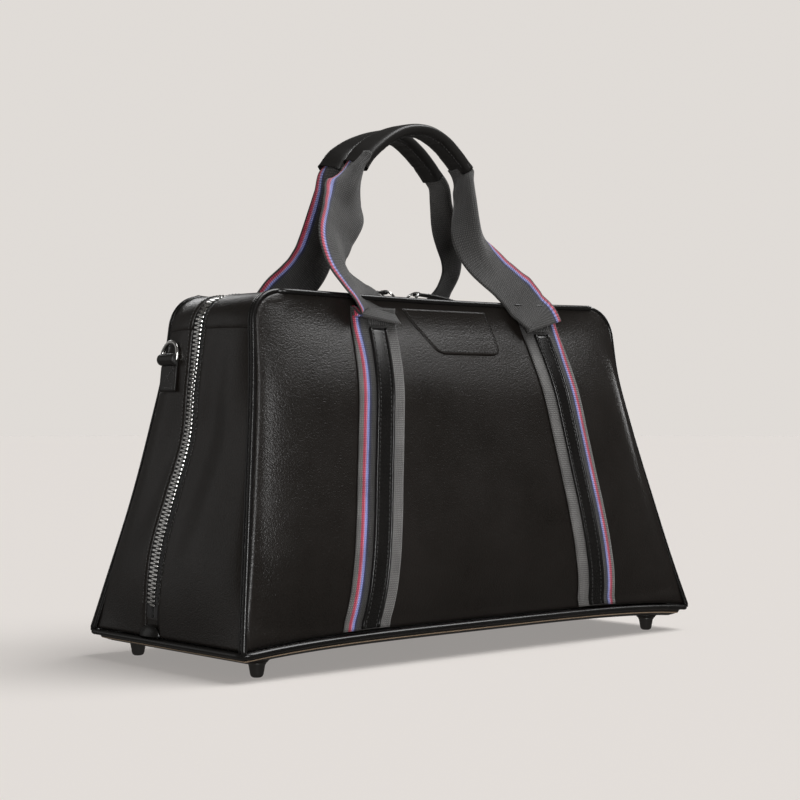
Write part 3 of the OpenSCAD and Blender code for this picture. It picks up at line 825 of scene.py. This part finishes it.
def straps():
    heights = np.linspace(PANEL_FOOT + 2 * MM, TOP - 6 * MM, 90)
    profile = flat_profile(WEBBING_T)
    rim = [(1, 0.6 * MM), (0.985, 1.5 * MM), (0.93, 2.4 * MM), (0.85, 2.8 * MM), (0.77, 2.5 * MM),
           (0.71, 1.8 * MM), (0.69, 0.9 * MM), (0.67, 0.85 * MM)]
    over = [(-x, h) for x, h in rim] + [(-0.4, 1.15 * MM), (0, 1.2 * MM), (0.4, 1.15 * MM)] + rim[::-1]
    over += [(0.96, PANEL_LIFT), (-0.96, PANEL_LIFT)]
    base = WEBBING_T + PANEL_LIFT
    half_over = 9.8 * MM
    for face in SIDES:
        for word, end in ENDS.items():
            centre = end * strap_x(heights)
            verts, faces = strip_on_panel(face, centre, WEBBING / 2, heights, profile)
            piece(f"{face}_{word}_strap_webbing", verts, faces, WEB, WALL[face], "webbing",
                  (f"{face}_{word}_strap",), uv=strap_uv(end, profile, heights))
            tall = np.linspace(PANEL_FOOT + 3 * MM, TOP - 25 * MM, 80)
            shift = -end * 2.4 * MM
            centre = end * strap_x(tall) + shift
            lifted = [(s, h + base) for s, h in over]
            verts, faces = strip_on_panel(face, centre, half_over, tall, lifted)
            piece(f"{face}_{word}_overlay_leather", verts, faces, TRIM_LEATHER, WALL[face],
                  "black_leather", (f"{face}_{word}_overlay",))
            parts = []
            for s in (-0.58, 0.58):
                path, normal = on_panel(face, centre + s * half_over, tall, base + 1.1 * MM)
                parts.append(stitch_parts(path, normal))
            # dense tack over the webbing, above the strip's end
            for z in np.linspace(TOP - 22.5 * MM, TOP - 17.5 * MM, 9):
                x = end * strap_x(z) + shift + np.linspace(-11 * MM, 11 * MM, 12)
                path, normal = on_panel(face, x, np.full(12, z), base + WEBBING_T + 0.5 * MM)
                parts.append(stitch_parts(path, normal, 2.0 * MM, 0.2 * MM, 0.4 * MM))
            piece(f"{face}_{word}_overlay_stitches", *join(parts), THREAD, WALL[face], "webbing")


def patch():
    """Blank patch: a sloping left side, a level foot and a steep right side, with a stitched edge."""
    high = TOP - 5.5 * MM
    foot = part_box("front_patch")[0].z + 3 * MM
    rows, cols = 26, 44
    z = np.linspace(foot, high, rows)
    share = (z - foot) / (high - foot)
    round_foot = np.sqrt(np.clip(1 - (1 - np.clip(share / 0.13, 0, 1)) ** 2, 0, 1))
    left = -27 * MM - 33 * MM * share - 7 * MM * round_foot
    right = 34 * MM + 7 * MM * round_foot + 1.5 * MM * np.sin(share * math.pi) - 7 * MM * share**2
    s = np.linspace(0, 1, cols)
    x = left[:, None] * (1 - s) + right[:, None] * s
    edge = np.minimum(np.minimum(s, 1 - s)[None] * cols, (np.arange(rows)[:, None] + 0.6) * 1.2)
    height = 0.3 * MM + 0.8 * MM * np.clip(edge / 1.6, 0, 1) ** 0.5
    outer, _ = on_panel("front", x, z[:, None] + 0 * x, height)
    inner, _ = on_panel("front", x, z[:, None] + 0 * x, 0.05 * MM)
    verts, faces = slab(outer, inner, 0.2)
    piece("front_patch_leather", verts, faces, PANEL_LEATHER, WALL["front"], "black_leather",
          ("front_patch",))
    inset = 2.6 * MM
    along_foot = np.linspace(left[0] + inset, right[0] - inset, 20)[1:-1]
    line_x = np.concatenate([left[::-1] + inset * 1.15, along_foot, right - inset * 1.15])
    line_z = np.maximum(np.concatenate([z[::-1], np.full(18, foot + inset), z]), foot + inset)
    path, normal = on_panel("front", line_x, line_z, 1.15 * MM)
    verts, faces = stitch_parts(path, normal, 2.4 * MM, 1.0 * MM)
    piece("front_patch_stitches", verts, faces, THREAD, WALL["front"], "webbing")


# ---------------------------------------------------------------- zip
def tooth_template():
    """One tooth: X along the zip, Y away from its middle, Z outwards."""
    outline = [(-1.2, 0.5), (0.1, 0.8), (1.1, 0.62), (1.6, 0.95), (4.8, 0.95), (5.2, 0.7)]
    loop = [(t, w) for w, t in outline] + [(-t, w) for w, t in reversed(outline)]
    neck = 1.4
    verts = [(t * along, neck + (w - neck) * across, z)
             for z, along, across in ((-1.3, 1, 1), (1.0, 1, 1), (1.4, 0.8, 0.94)) for t, w in loop]
    return np.array(verts) * MM, tube(3, len(loop))


def zip_parts():
    first, last = row_at(ZIP_LOW + 3 * MM, -1), row_at(ZIP_LOW + 3 * MM, 1)
    fine = np.linspace(first, last, 2400)
    line, normal = on_ring(fine, np.zeros(len(fine)), -1.2 * MM)
    run = run_along(line)
    pitch = 3.6 * MM
    template, tooth_faces = tooth_template()
    for face, side in SIDES.items():
        shift = 0 if side < 0 else pitch / 2
        s = np.arange(shift, run[-1], pitch)
        out = unit(read(s, run, normal))
        ahead = unit(read(s + MM, run, line) - read(s - MM, run, line))
        across = unit(np.cross(out, ahead))
        across = across * np.sign(across[:, 1:2]) * side
        verts, faces = scatter(template, tooth_faces, read(s, run, line), ahead, across, out)
        piece(f"{face}_zip_teeth", verts, faces, METAL, WALL[face], "polished_metal", flat=True)
        rows = np.linspace(row_at(SEAM + 7 * MM, -1), row_at(SEAM + 7 * MM, 1), 230)
        off = np.linspace(0.9 * MM, 15 * MM, 9) * side
        outer, n = on_ring(rows[:, None], off[None, :], -2.5 * MM)
        verts, faces = slab(outer, outer - n * 0.8 * MM, 0.1)
        both = np.broadcast_arrays(np.abs(off)[None], run_along(outer[:, 0])[:, None])
        uv = np.stack(both, -1).reshape(-1, 2)
        uv = np.concatenate([uv, uv, np.zeros((len(verts) - 2 * len(uv), 2))])
        piece(f"{face}_zip_cloth", verts, faces, TAPE, WALL[face], "zip_tape",
              (f"{face}_zip_tape",), uv=uv)
        rows = fine[::6]
        path, n = on_ring(rows, np.full(len(rows), (SLOT + 2.2 * MM) * side), 0.15 * MM)
        top = (rows > row_at(BAND, -1)) & (rows < row_at(BAND, 1))
        path = path + n * (0.8 * MM * top)[:, None]
        verts, faces = stitch_parts(path, n, 2.2 * MM, 1.1 * MM, 0.3 * MM)
        piece(f"{face}_zip_stitches", verts, faces, THREAD, WALL[face], "zip_tape")


def slider_parts(end, word):
    """Slider: two wing plates joined at the middle, with a bridge that holds the pull's ring."""
    lo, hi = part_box(f"{word}_slider")
    mid = (lo + hi) / 2
    edge = [(-4.4, -2.4), (-3.2, -4.2), (0, -4.6), (3.2, -4.4), (4.4, -2.8)]
    plate = edge + [(x, -y) for x, y in reversed(edge)]
    parts = []
    chain = TOP - 1.4 * MM
    for low, high in ((1.9 * MM, 3.3 * MM), (-5.5 * MM, -4.3 * MM)):
        rings = []
        levels = ((0.88, low), (1, low + 0.35 * MM), (1, high - 0.45 * MM), (0.86, high),
                  (0.5, high + 0.15 * MM))
        for inset, z in levels:
            size = inset * MM
            rings.append([(mid.x + end * x * size, mid.y + y * size, chain + z) for x, y in plate])
        parts.append((np.array(rings).reshape(-1, 3), tube(len(levels), len(plate))))
    post = np.array([(mid.x + end * 2.6 * MM, mid.y, chain + z) for z in (-4.5 * MM, 2.1 * MM)])
    parts.append(sweep(post, circle(0.45 * MM, 8)))
    turn, bow = np.linspace(0, math.pi, 17), 4 * MM
    arc = np.stack([mid.x + bow * np.cos(turn), np.full(17, mid.y), chain + 3.2 * MM + bow * np.sin(turn)], 1)
    parts.append(sweep(arc, circle(0.85 * MM, 10), start=(0, 1, 0)))
    piece(f"{word}_slider_body", *join(parts), METAL, f"{word}_slider", "polished_metal", (f"{word}_slider",))


def pull_tab(end, word):
    """Leather tab with a rounded end, folded round the ring and stitched."""
    lo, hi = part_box(f"{word}_pull_tab")
    near, far = (hi.x, lo.x) if end < 0 else (lo.x, hi.x)
    y = (lo.y + hi.y) / 2
    tab_t = 2.4 * MM
    start = np.array([near, y, hi.z - tab_t / 2])
    stop = np.array([far, y, lo.z + tab_t / 2 + 0.3 * MM])
    share = np.linspace(0, 1, 30)
    line = start + (stop - start) * share[:, None]
    line[:, 2] += 1.2 * MM * np.sin(share * math.pi)
    along = unit(stop - start)
    up = unit(np.cross(along, (0, 1, 0)))
    up = up if up[2] > 0 else -up
    half = 5.5 * MM * np.where(share > 0.88, np.sqrt(np.clip(1 - ((share - 0.88) / 0.125) ** 2, 0.02, 1)), 1)
    half = half * np.where(share < 0.12, 0.62 + 0.38 * share / 0.12, 1)
    profile = np.array([(-1, 0), (-0.94, 0.8), (-0.8, 1), (0, 1.08), (0.8, 1), (0.94, 0.8), (1, 0),
                        (0.94, -0.8), (0.8, -1), (0, -1), (-0.8, -1), (-0.94, -0.8)])
    rings = (line[:, None] + np.array([0, 1, 0]) * (half[:, None] * profile[None, :, 0])[..., None]
             + up * (profile[None, :, 1] * tab_t / 2)[..., None])
    body = (rings.reshape(-1, 3), tube(len(line), len(profile)))
    # the near end is rolled round the ring
    roll_at = start + along * -1.6 * MM + up * -0.2 * MM
    path = np.array([roll_at + np.array([0, s, 0]) for s in np.linspace(-3.4 * MM, 3.4 * MM, 7)])
    roll = sweep(path, circle(2.1 * MM, 14), start=(0, 0, 1))
    piece(f"{word}_pull_leather", *join([body, roll]), STRIP_LEATHER, f"{word}_pull", "black_leather",
          (f"{word}_pull_tab",))
    keep = slice(5, 27)
    edge = np.array([0, 1, 0]) * (half[keep, None] - 1.3 * MM)
    ups = np.broadcast_to(up, line[keep].shape)
    parts = [stitch_parts(line[keep] + side * edge + up * tab_t * 0.53, ups, 2 * MM, 1 * MM, 0.28 * MM)
             for side in (-1, 1)]
    piece(f"{word}_pull_stitches", *join(parts), THREAD, f"{word}_pull", "black_leather")


def zip_tongue(end, word):
    """Leather tongue sewn over the zip's lower end: a low cushion with a rounded upper edge."""
    half, tall = 15 * MM, 8.5 * MM
    angle = np.linspace(0, math.pi, 25)
    share = np.linspace(0, 1, 9)
    off = half * np.cos(angle)[None] * (1 - share[:, None] * 0.999)
    z = SEAM + 1.2 * MM + tall * np.sin(angle)[None] * (1 - share[:, None])
    puff = 0.8 * MM + 4.6 * MM * np.sin(share * math.pi / 2)[:, None] ** 0.7 + 0 * z
    outer, _ = on_ring(row_at(z, end), off, puff)
    inner, _ = on_ring(row_at(z, end), off, 0.1 * MM)
    verts, faces = slab(outer, inner, 0.1)
    piece(f"{word}_zip_tongue", verts, faces, TRIM_LEATHER, "base", "black_leather", (f"{word}_zip_tab",))


# ---------------------------------------------------------------- rings' loops
def ring_loop(end, word):
    """Tab sewn to the end, rolled round the bar of the D-ring."""
    bar = np.array(JOINTS[f"{word}_ring_swings"]["pos_m"])
    lo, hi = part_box(f"{word}_ring_loop")
    width = (hi.y - lo.y) / 2 + 2.5 * MM
    low = bar[2] - 29 * MM
    z = np.linspace(low, bar[2] - 1 * MM, 16)
    wall, normal = on_ring(row_at(z, end), bar[1] - zip_y(z), 0.4 * MM)
    thick = 2.4 * MM
    outer_r = 5.2 * MM
    # profile in the XZ plane: up the outside, round the bar, and down behind
    outside = wall[:, [0, 2]] + normal[:, [0, 2]] * thick
    turn = np.linspace(-0.5, 1.32, 22) * math.pi
    rolled = np.stack([bar[0] + end * outer_r * np.cos(turn), bar[2] + outer_r * np.sin(turn)], 1)
    back = wall[::-1][:, [0, 2]]
    outline = np.concatenate([outside[outside[:, 1] < bar[2] - outer_r * 0.9], rolled, back])
    ys = bar[1] + width * np.array([-1, -0.97, -0.9, -0.5, 0, 0.5, 0.9, 0.97, 1])
    shrink = np.array([0.5, 0.18, 0, 0, 0, 0, 0, 0.18, 0.5]) * MM
    step = unit(np.gradient(outline, axis=0))
    outward = np.stack([step[:, 1], -step[:, 0]], 1) * end
    rings = []
    for yk, sk in zip(ys, shrink):
        moved = outline - outward * sk
        rings.append(np.column_stack([moved[:, 0], np.full(len(moved), yk), moved[:, 1]]))
    piece(f"{word}_ring_loop_leather", np.concatenate(rings), tube(len(ys), len(outline)), STRIP_LEATHER,
          WALL["back"], "black_leather", (f"{word}_ring_loop",))
    parts = []
    a, b = low + 3 * MM, bar[2] - 8 * MM
    inset = width - 2.2 * MM
    corners = [(-inset, a), (-inset, b), (inset, a), (inset, b)]
    sides = [(corners[i], corners[j]) for i, j in ((0, 1), (2, 3), (0, 2), (1, 3), (0, 3), (2, 1))]
    for (y0, z0), (y1, z1) in sides:
        s = np.linspace(0, 1, 12)
        y, z = bar[1] + y0 + (y1 - y0) * s, z0 + (z1 - z0) * s
        path, n = on_ring(row_at(z, end), y - zip_y(z), 0.4 * MM + thick + 0.1 * MM)
        parts.append(stitch_parts(path, n, 2.2 * MM, 0.9 * MM, 0.32 * MM))
    piece(f"{word}_ring_loop_stitches", *join(parts), THREAD, WALL["back"], "black_leather")


# ---------------------------------------------------------------- handles
def webbing_section(fold, crease=3 * MM):
    """Section of webbing folded along its middle: fold 0 is flat, 1 is folded shut."""
    s = np.linspace(-WEBBING / 2, WEBBING / 2, 25)
    angle = -fold * math.pi / 2 * s / np.sqrt(s**2 + crease**2)
    step = np.stack([np.cos(angle), np.sin(angle)], 1)
    gap = s[1] - s[0]
    line = np.concatenate([[[0, 0]], np.cumsum((step[1:] + step[:-1]) / 2 * gap, 0)])
    line -= line.mean(0)
    side = np.stack([-step[:, 1], step[:, 0]], 1) * WEBBING_T / 2
    shut = np.clip(1 - np.abs(np.abs(s) - WEBBING / 2) / (0.8 * MM), 0, 1) * 0.45
    top, bottom = line + side * (1 - shut)[:, None], line - side * (1 - shut)[:, None]
    return np.concatenate([top, bottom[::-1]]), np.concatenate([s, s[::-1]]) + WEBBING / 2


# Stations of each leg: (x, y, z, fold, twist in degrees), in mm and from the bag up to the grip.
# Many of these, and of GRIP_ARCH's, were projected from the photograph by a scratch script, rounded,
# and then moved by hand. The rest were placed one by one.
LEGS = {
    ("front", -1): [(-102, -78.5, 290, 0, 0), (-100.4, -71, 299.4, 0, 10), (-110, -66.5, 312, 0, 26),
                    (-119.5, -63, 323.5, 0.1, 32), (-126.5, -58, 337, 0.18, 33),
                    (-126.5, -52, 352.7, 0.14, 27), (-119.6, -45, 367.4, 0, 21),
                    (-111, -40, 378.7, 0, 14), (-102, -35, 390, 0.05, 9), (-92.5, -29, 405.4, 0.42, 6),
                    (-82, -22, 418, 0.75, 0), (-73, -17, 430, 0.95, 0), (-65, -15.5, 440, 1, 0)],
    ("front", 1): [(102, -78.5, 290, 0, 0), (99, -75.5, 299, 0, 0), (92, -72.5, 306, 0, 0),
                   (84.5, -70, 313.5, 0, 0), (76, -68, 321, 0, 0), (66, -64.5, 330, 0, 0),
                   (55, -60, 340, 0.02, 0), (46, -55, 352, 0.15, -2), (41.5, -50, 365, 0.33, -4),
                   (42.5, -42, 385, 0.65, -4), (46, -34, 403, 0.88, -4), (51, -25, 419, 0.97, 0),
                   (58, -16, 434, 1, 0), (52, -15.5, 441, 1, 0)],
    ("back", -1): [(-102, 78.5, 290, 0, 0), (-98.5, 76, 301, 0, 0), (-92.5, 74, 311, 0, 0),
                   (-84.5, 72, 320.5, 0, 0), (-75.5, 69, 330, 0, 0), (-67, 65.5, 340, 0.03, 0),
                   (-59, 61, 353.5, 0.15, 0), (-56, 55.5, 367, 0.3, 0), (-55, 50, 381.5, 0.46, 0),
                   (-55, 45, 396, 0.6, 0), (-57.5, 39.5, 411.5, 0.8, 0), (-60, 36, 428, 0.97, 0),
                   (-50, 36, 441, 1, 0)],
    ("back", 1): [(102, 78.5, 290, 0, 0), (100, 76, 301, 0, 8), (107, 73, 316, 0.08, 22),
                  (115, 68, 332, 0.2, 30), (118.5, 63, 348, 0.35, 34), (115, 58, 365, 0.45, 32),
                  (106.5, 53, 381, 0.6, 22), (95, 47, 397, 0.78, 8), (84, 41, 414, 0.93, 2),
                  (76, 36.5, 429, 0.98, 0), (68, 35.5, 437, 1, 0)],
}
GRIP_Y = {"front": -15.5, "back": 35.5}                       # of each grip's middle line, in mm
# Middle line of each grip: share of its length, then x and z in mm
GRIP_ARCH = {
    "front": [(0, (-74, 430)), (0.11, (-64, 442)), (0.22, (-51, 452)), (0.35, (-36, 460.5)),
              (0.47, (-21, 466)), (0.58, (-4, 468.5)), (0.69, (12, 467)), (0.79, (28, 460.5)),
              (0.9, (43, 449.5)), (1, (57, 437))],
    "back": [(0, (-62, 432)), (0.1, (-53, 443.5)), (0.21, (-41, 452.5)), (0.34, (-25, 461.5)),
             (0.46, (-8, 468)), (0.57, (8, 470.5)), (0.68, (24, 468)), (0.79, (40, 459)),
             (0.9, (54, 447.5)), (1, (66, 435.5))],
}


def leg_parts(face, end):
    """Webbing leg through its stations, folded and twisted as they say."""
    stations = np.array(LEGS[face, end], float)
    span = run_along(stations[:, :3])
    route = smooth_curve(np.column_stack([span, stations]))
    s = np.linspace(0, span[-1], 84)
    data = route(s)
    line = data[:, :3] * MM
    tangent = unit(np.gradient(line, axis=0))
    twist = np.radians(data[:, 4])
    across = np.stack([np.cos(twist), np.sin(twist), 0 * twist], 1)
    across = unit(across - tangent * np.sum(across * tangent, 1, keepdims=True))
    front = np.cross(across, tangent)
    rings, uvs = [], []
    for k in range(len(s)):
        section, from_left = webbing_section(float(np.clip(data[k, 3], 0, 1)))
        rings.append(line[k] + across[k] * section[:, :1] + front[k] * section[:, 1:])
        outer = from_left if end < 0 else WEBBING - from_left
        uvs.append(np.stack([outer + STRIPE_SHIFT, np.full(len(outer), s[k] * MM + TOP - 19 * MM)], 1))
    return np.concatenate(rings), tube(len(s), len(rings[0])), np.concatenate(uvs)


def grip_parts(face):
    """Leather sleeve round the folded webbing, arched between the legs."""
    route = smooth_curve([(share, x, z) for share, (x, z) in GRIP_ARCH[face]])
    line = resample(route(np.linspace(0, 1, 400)) * MM, count=90)
    line = np.stack([line[:, 0], np.full(90, GRIP_Y[face] * MM), line[:, 1]], 1)
    along = unit(np.gradient(line, axis=0))
    out = np.cross(along, (0, 1, 0)) * -1
    tilt = np.radians(-20) * (1 - ease(0.1, 0.5, np.linspace(0, 1, 90)))[:, None]
    width_way = np.cos(tilt) * np.array([0, 1, 0]) + np.sin(tilt) * out
    out = np.cross(width_way, along)
    out = out * np.sign(out[:, 2:])
    count = 40
    angle = np.arange(count) * 2 * math.pi / count
    power = 0.55
    sa = np.sign(np.cos(angle)) * np.abs(np.cos(angle)) ** power
    sb = np.sign(np.sin(angle)) * np.abs(np.sin(angle)) ** power
    share = np.linspace(-1, 1, 90)
    flare = 1 + 0.03 * np.exp(-((1 - np.abs(share)) / 0.045) ** 2) + 0.03 * np.sin(share * 3)
    creases = np.zeros((90, count))
    for _ in range(26):
        at, width = RNG.uniform(-0.92, 0.92), RNG.uniform(0.012, 0.03)
        place, spread = RNG.uniform(math.pi * 1.15, math.pi * 1.85), RNG.uniform(0.3, 0.8)
        depth = RNG.uniform(0.25, 0.75) * MM
        creases -= depth * np.exp(-((share[:, None] - at) / width) ** 2) * \
            np.exp(-((angle[None] - place) / spread) ** 2)
    seam = -0.8 * MM * np.exp(-((angle[None] - 1.5 * math.pi) / 0.1) ** 2)
    wide = 12.2 * MM * flare[:, None] * sa[None]
    thick = 5.4 * MM * flare[:, None] * sb[None] + (creases + seam) * np.sign(sb)[None]
    verts = line[:, None] + width_way[:, None] * wide[..., None] + out[:, None] * thick[..., None]
    inner = line[[0, -1], None] + width_way[[0, -1], None] * (wide[[0, -1]] * 0.84)[..., None] \
        + out[[0, -1], None] * (thick[[0, -1]] * 0.7)[..., None]
    inner[0] += (line[1] - line[0]) * 3
    inner[1] += (line[-2] - line[-1]) * 3
    rings = np.concatenate([inner[:1], verts, inner[1:]])
    stitches = []
    for side in (-1, 1):
        k = int(round((1.5 * math.pi + side * 0.42) / (2 * math.pi) * count)) % count
        stitches.append(stitch_parts(verts[4:-4, k], -out[4:-4], 2.6 * MM, 1.2 * MM))
    return (rings.reshape(-1, 3), tube(len(rings), count)), join(stitches)


def handles():
    for face in SIDES:
        for word, end in ENDS.items():
            verts, faces, uv = leg_parts(face, end)
            piece(f"{face}_{word}_leg_webbing", verts, faces, WEB, (f"{face}_half", f"{face}_handle"),
                  "webbing", (f"{face}_handle_webbing",), uv=uv)
        sleeve, stitches = grip_parts(face)
        obj = piece(f"{face}_grip_leather", *sleeve, STRIP_LEATHER, f"{face}_handle", "black_leather",
                    (f"{face}_grip",))
        piece(f"{face}_grip_stitches", *stitches, THREAD, f"{face}_handle", "black_leather")


# ---------------------------------------------------------------- inside
def inside():
    for face in SIDES:
        rows = np.linspace(1.5, len(ROW_Z) - 3, 60)
        cols = np.linspace(2, len(COL_U) - 3, 70)
        outer, n = PANEL[face].at(rows[:, None], cols[None], -LEATHER - 1.2 * MM)
        wave_in = 0.8 * MM * np.sin(cols * 0.55)[None] * np.sin(rows * 0.13 + 0.5)[:, None]
        outer = outer - n * (wave_in[..., None] + 0.8 * MM)
        verts, faces = slab(outer, outer - n * 0.5 * MM, 0.1)
        obj = piece(f"{face}_lining_cloth", verts, faces, LINING, WALL[face], "lining",
                    (f"{face}_lining",), uv=verts[:, [0, 2]])
    lo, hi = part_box("inner_pocket")
    x = np.linspace(lo.x, hi.x, 40)
    z = np.linspace(lo.z, hi.z, 26)
    loose = ease(0.3, 1, (z - lo.z) / (hi.z - lo.z))
    sag = 5 * MM * np.sin(np.linspace(0, math.pi, 40))[None] * loose[:, None]
    outer, n = on_panel("back", x[None] + 0 * z[:, None], z[:, None] + 0 * x[None], -LEATHER - 3.4 * MM - sag)
    verts, faces = slab(outer, outer - n * 0.8 * MM, 0.3)
    obj = piece("pocket_cloth", verts, faces, LINING, WALL["back"], "lining", ("inner_pocket",),
                uv=verts[:, [0, 2]])


# ---------------------------------------------------------------- stage
def studio():
    def emission(name, colour, strength):
        mat = bpy.data.materials.new(name)
        mat.use_nodes = True
        nodes = mat.node_tree.nodes
        nodes.clear()
        glow = nodes.new("ShaderNodeEmission")
        glow.inputs["Color"].default_value = (*colour, 1)
        glow.inputs["Strength"].default_value = strength
        out = nodes.new("ShaderNodeOutputMaterial")
        mat.node_tree.links.new(glow.outputs[0], out.inputs["Surface"])
        return mat
    pale = (0.745, 0.712, 0.68)
    floor_look = Shader("floor_pale", Base_Color=(0.606, 0.577, 0.551, 1), Roughness=0.9,
                        Specular_IOR_Level=0.1, Emission_Color=(0.745, 0.708, 0.68, 1),
                        Emission_Strength=0.40)
    floor_size = 14.0
    mesh = bpy.data.meshes.new("floor")
    turn = np.linspace(0, 2 * math.pi, 97)[:-1]
    mesh.from_pydata([(floor_size * math.cos(a), floor_size * math.sin(a), 0) for a in turn], [],
                     [tuple(range(96))])
    mesh.materials.append(floor_look.material)
    floor = bpy.data.objects.new("floor", mesh)
    bpy.context.scene.collection.objects.link(floor)
    floor.visible_glossy = False
    bm = bmesh.new()
    bmesh.ops.create_uvsphere(bm, u_segments=48, v_segments=24, radius=14.5)
    mesh = bpy.data.meshes.new("backdrop")
    bm.to_mesh(mesh)
    bm.free()
    mesh.materials.append(emission("backdrop_pale", pale, 1.0))
    dome = bpy.data.objects.new("backdrop", mesh)
    bpy.context.scene.collection.objects.link(dome)
    dome.visible_glossy = dome.visible_diffuse = dome.visible_shadow = False
    dome.visible_transmission = False
    world = bpy.data.worlds.new("studio")
    bpy.context.scene.world = world
    world.use_nodes = True
    world.node_tree.nodes["Background"].inputs["Color"].default_value = (1.0, 0.955, 0.91, 1)
    world.node_tree.nodes["Background"].inputs["Strength"].default_value = 0.075

    def aim(obj, target):
        direction = np.array(target) - np.array(obj.location)
        obj.rotation_euler = Vector(direction).to_track_quat("-Z", "Y").to_euler()

    sun = bpy.data.lights.new("overhead", "SUN")
    sun.energy, sun.angle = 2.55, math.radians(45)
    obj = bpy.data.objects.new("overhead", sun)
    obj.location = (1.5, -0.9, 3)
    bpy.context.scene.collection.objects.link(obj)
    aim(obj, (0, 0, 0))
    lit = bpy.data.collections.new("bag")
    for thing in bpy.context.scene.collection.objects:
        if thing.type == "MESH" and thing.name not in ("floor", "backdrop"):
            lit.objects.link(thing)
    for thing in frame["nodes"].values():
        if thing.name not in lit.objects:
            lit.objects.link(thing)
    boxes = (("front_strip", (-1.45, -2.2, 0.7), (-0.22, -0.1, 0.2), 0.55, 1.3, 30.0),
             ("right_strip", (2.4, 0.9, 0.8), (0.2, 0, 0.2), 0.6, 1.4, 7.0),
             ("left_panel", (-2.0, 1.9, 0.8), (-0.25, 0, 0.2), 1.8, 1.8, 3.0),
             ("back_strip", (0.9, 2.6, 1.2), (0, 0, 0.25), 0.7, 1.4, 9.0))
    for name, place, target, wide, tall, power in boxes:
        light = bpy.data.lights.new(name, "AREA")
        light.shape, light.size, light.size_y, light.energy = "RECTANGLE", wide, tall, power
        obj = bpy.data.objects.new(name, light)
        obj.location = place
        bpy.context.scene.collection.objects.link(obj)
        aim(obj, target)
        obj.light_linking.receiver_collection = lit
    bpy.context.scene.view_settings.view_transform = "Standard"


def camera():
    data = bpy.data.cameras.new("camera")
    data.lens, data.sensor_width = 80, 36
    data.clip_end = 60
    obj = bpy.data.objects.new("camera", data)
    obj.location = (-1.086, -1.226, 0.2117)
    obj.rotation_euler = (math.radians(90.37), 0, math.radians(-41.34))
    bpy.context.scene.collection.objects.link(obj)
    bpy.context.scene.camera = obj


camera()
body_leather()
piping()
base_pieces()
straps()
patch()
zip_parts()
for WORD, END in ENDS.items():
    slider_parts(END, WORD)
    pull_tab(END, WORD)
    zip_tongue(END, WORD)
    ring_loop(END, WORD)
handles()
inside()
studio()
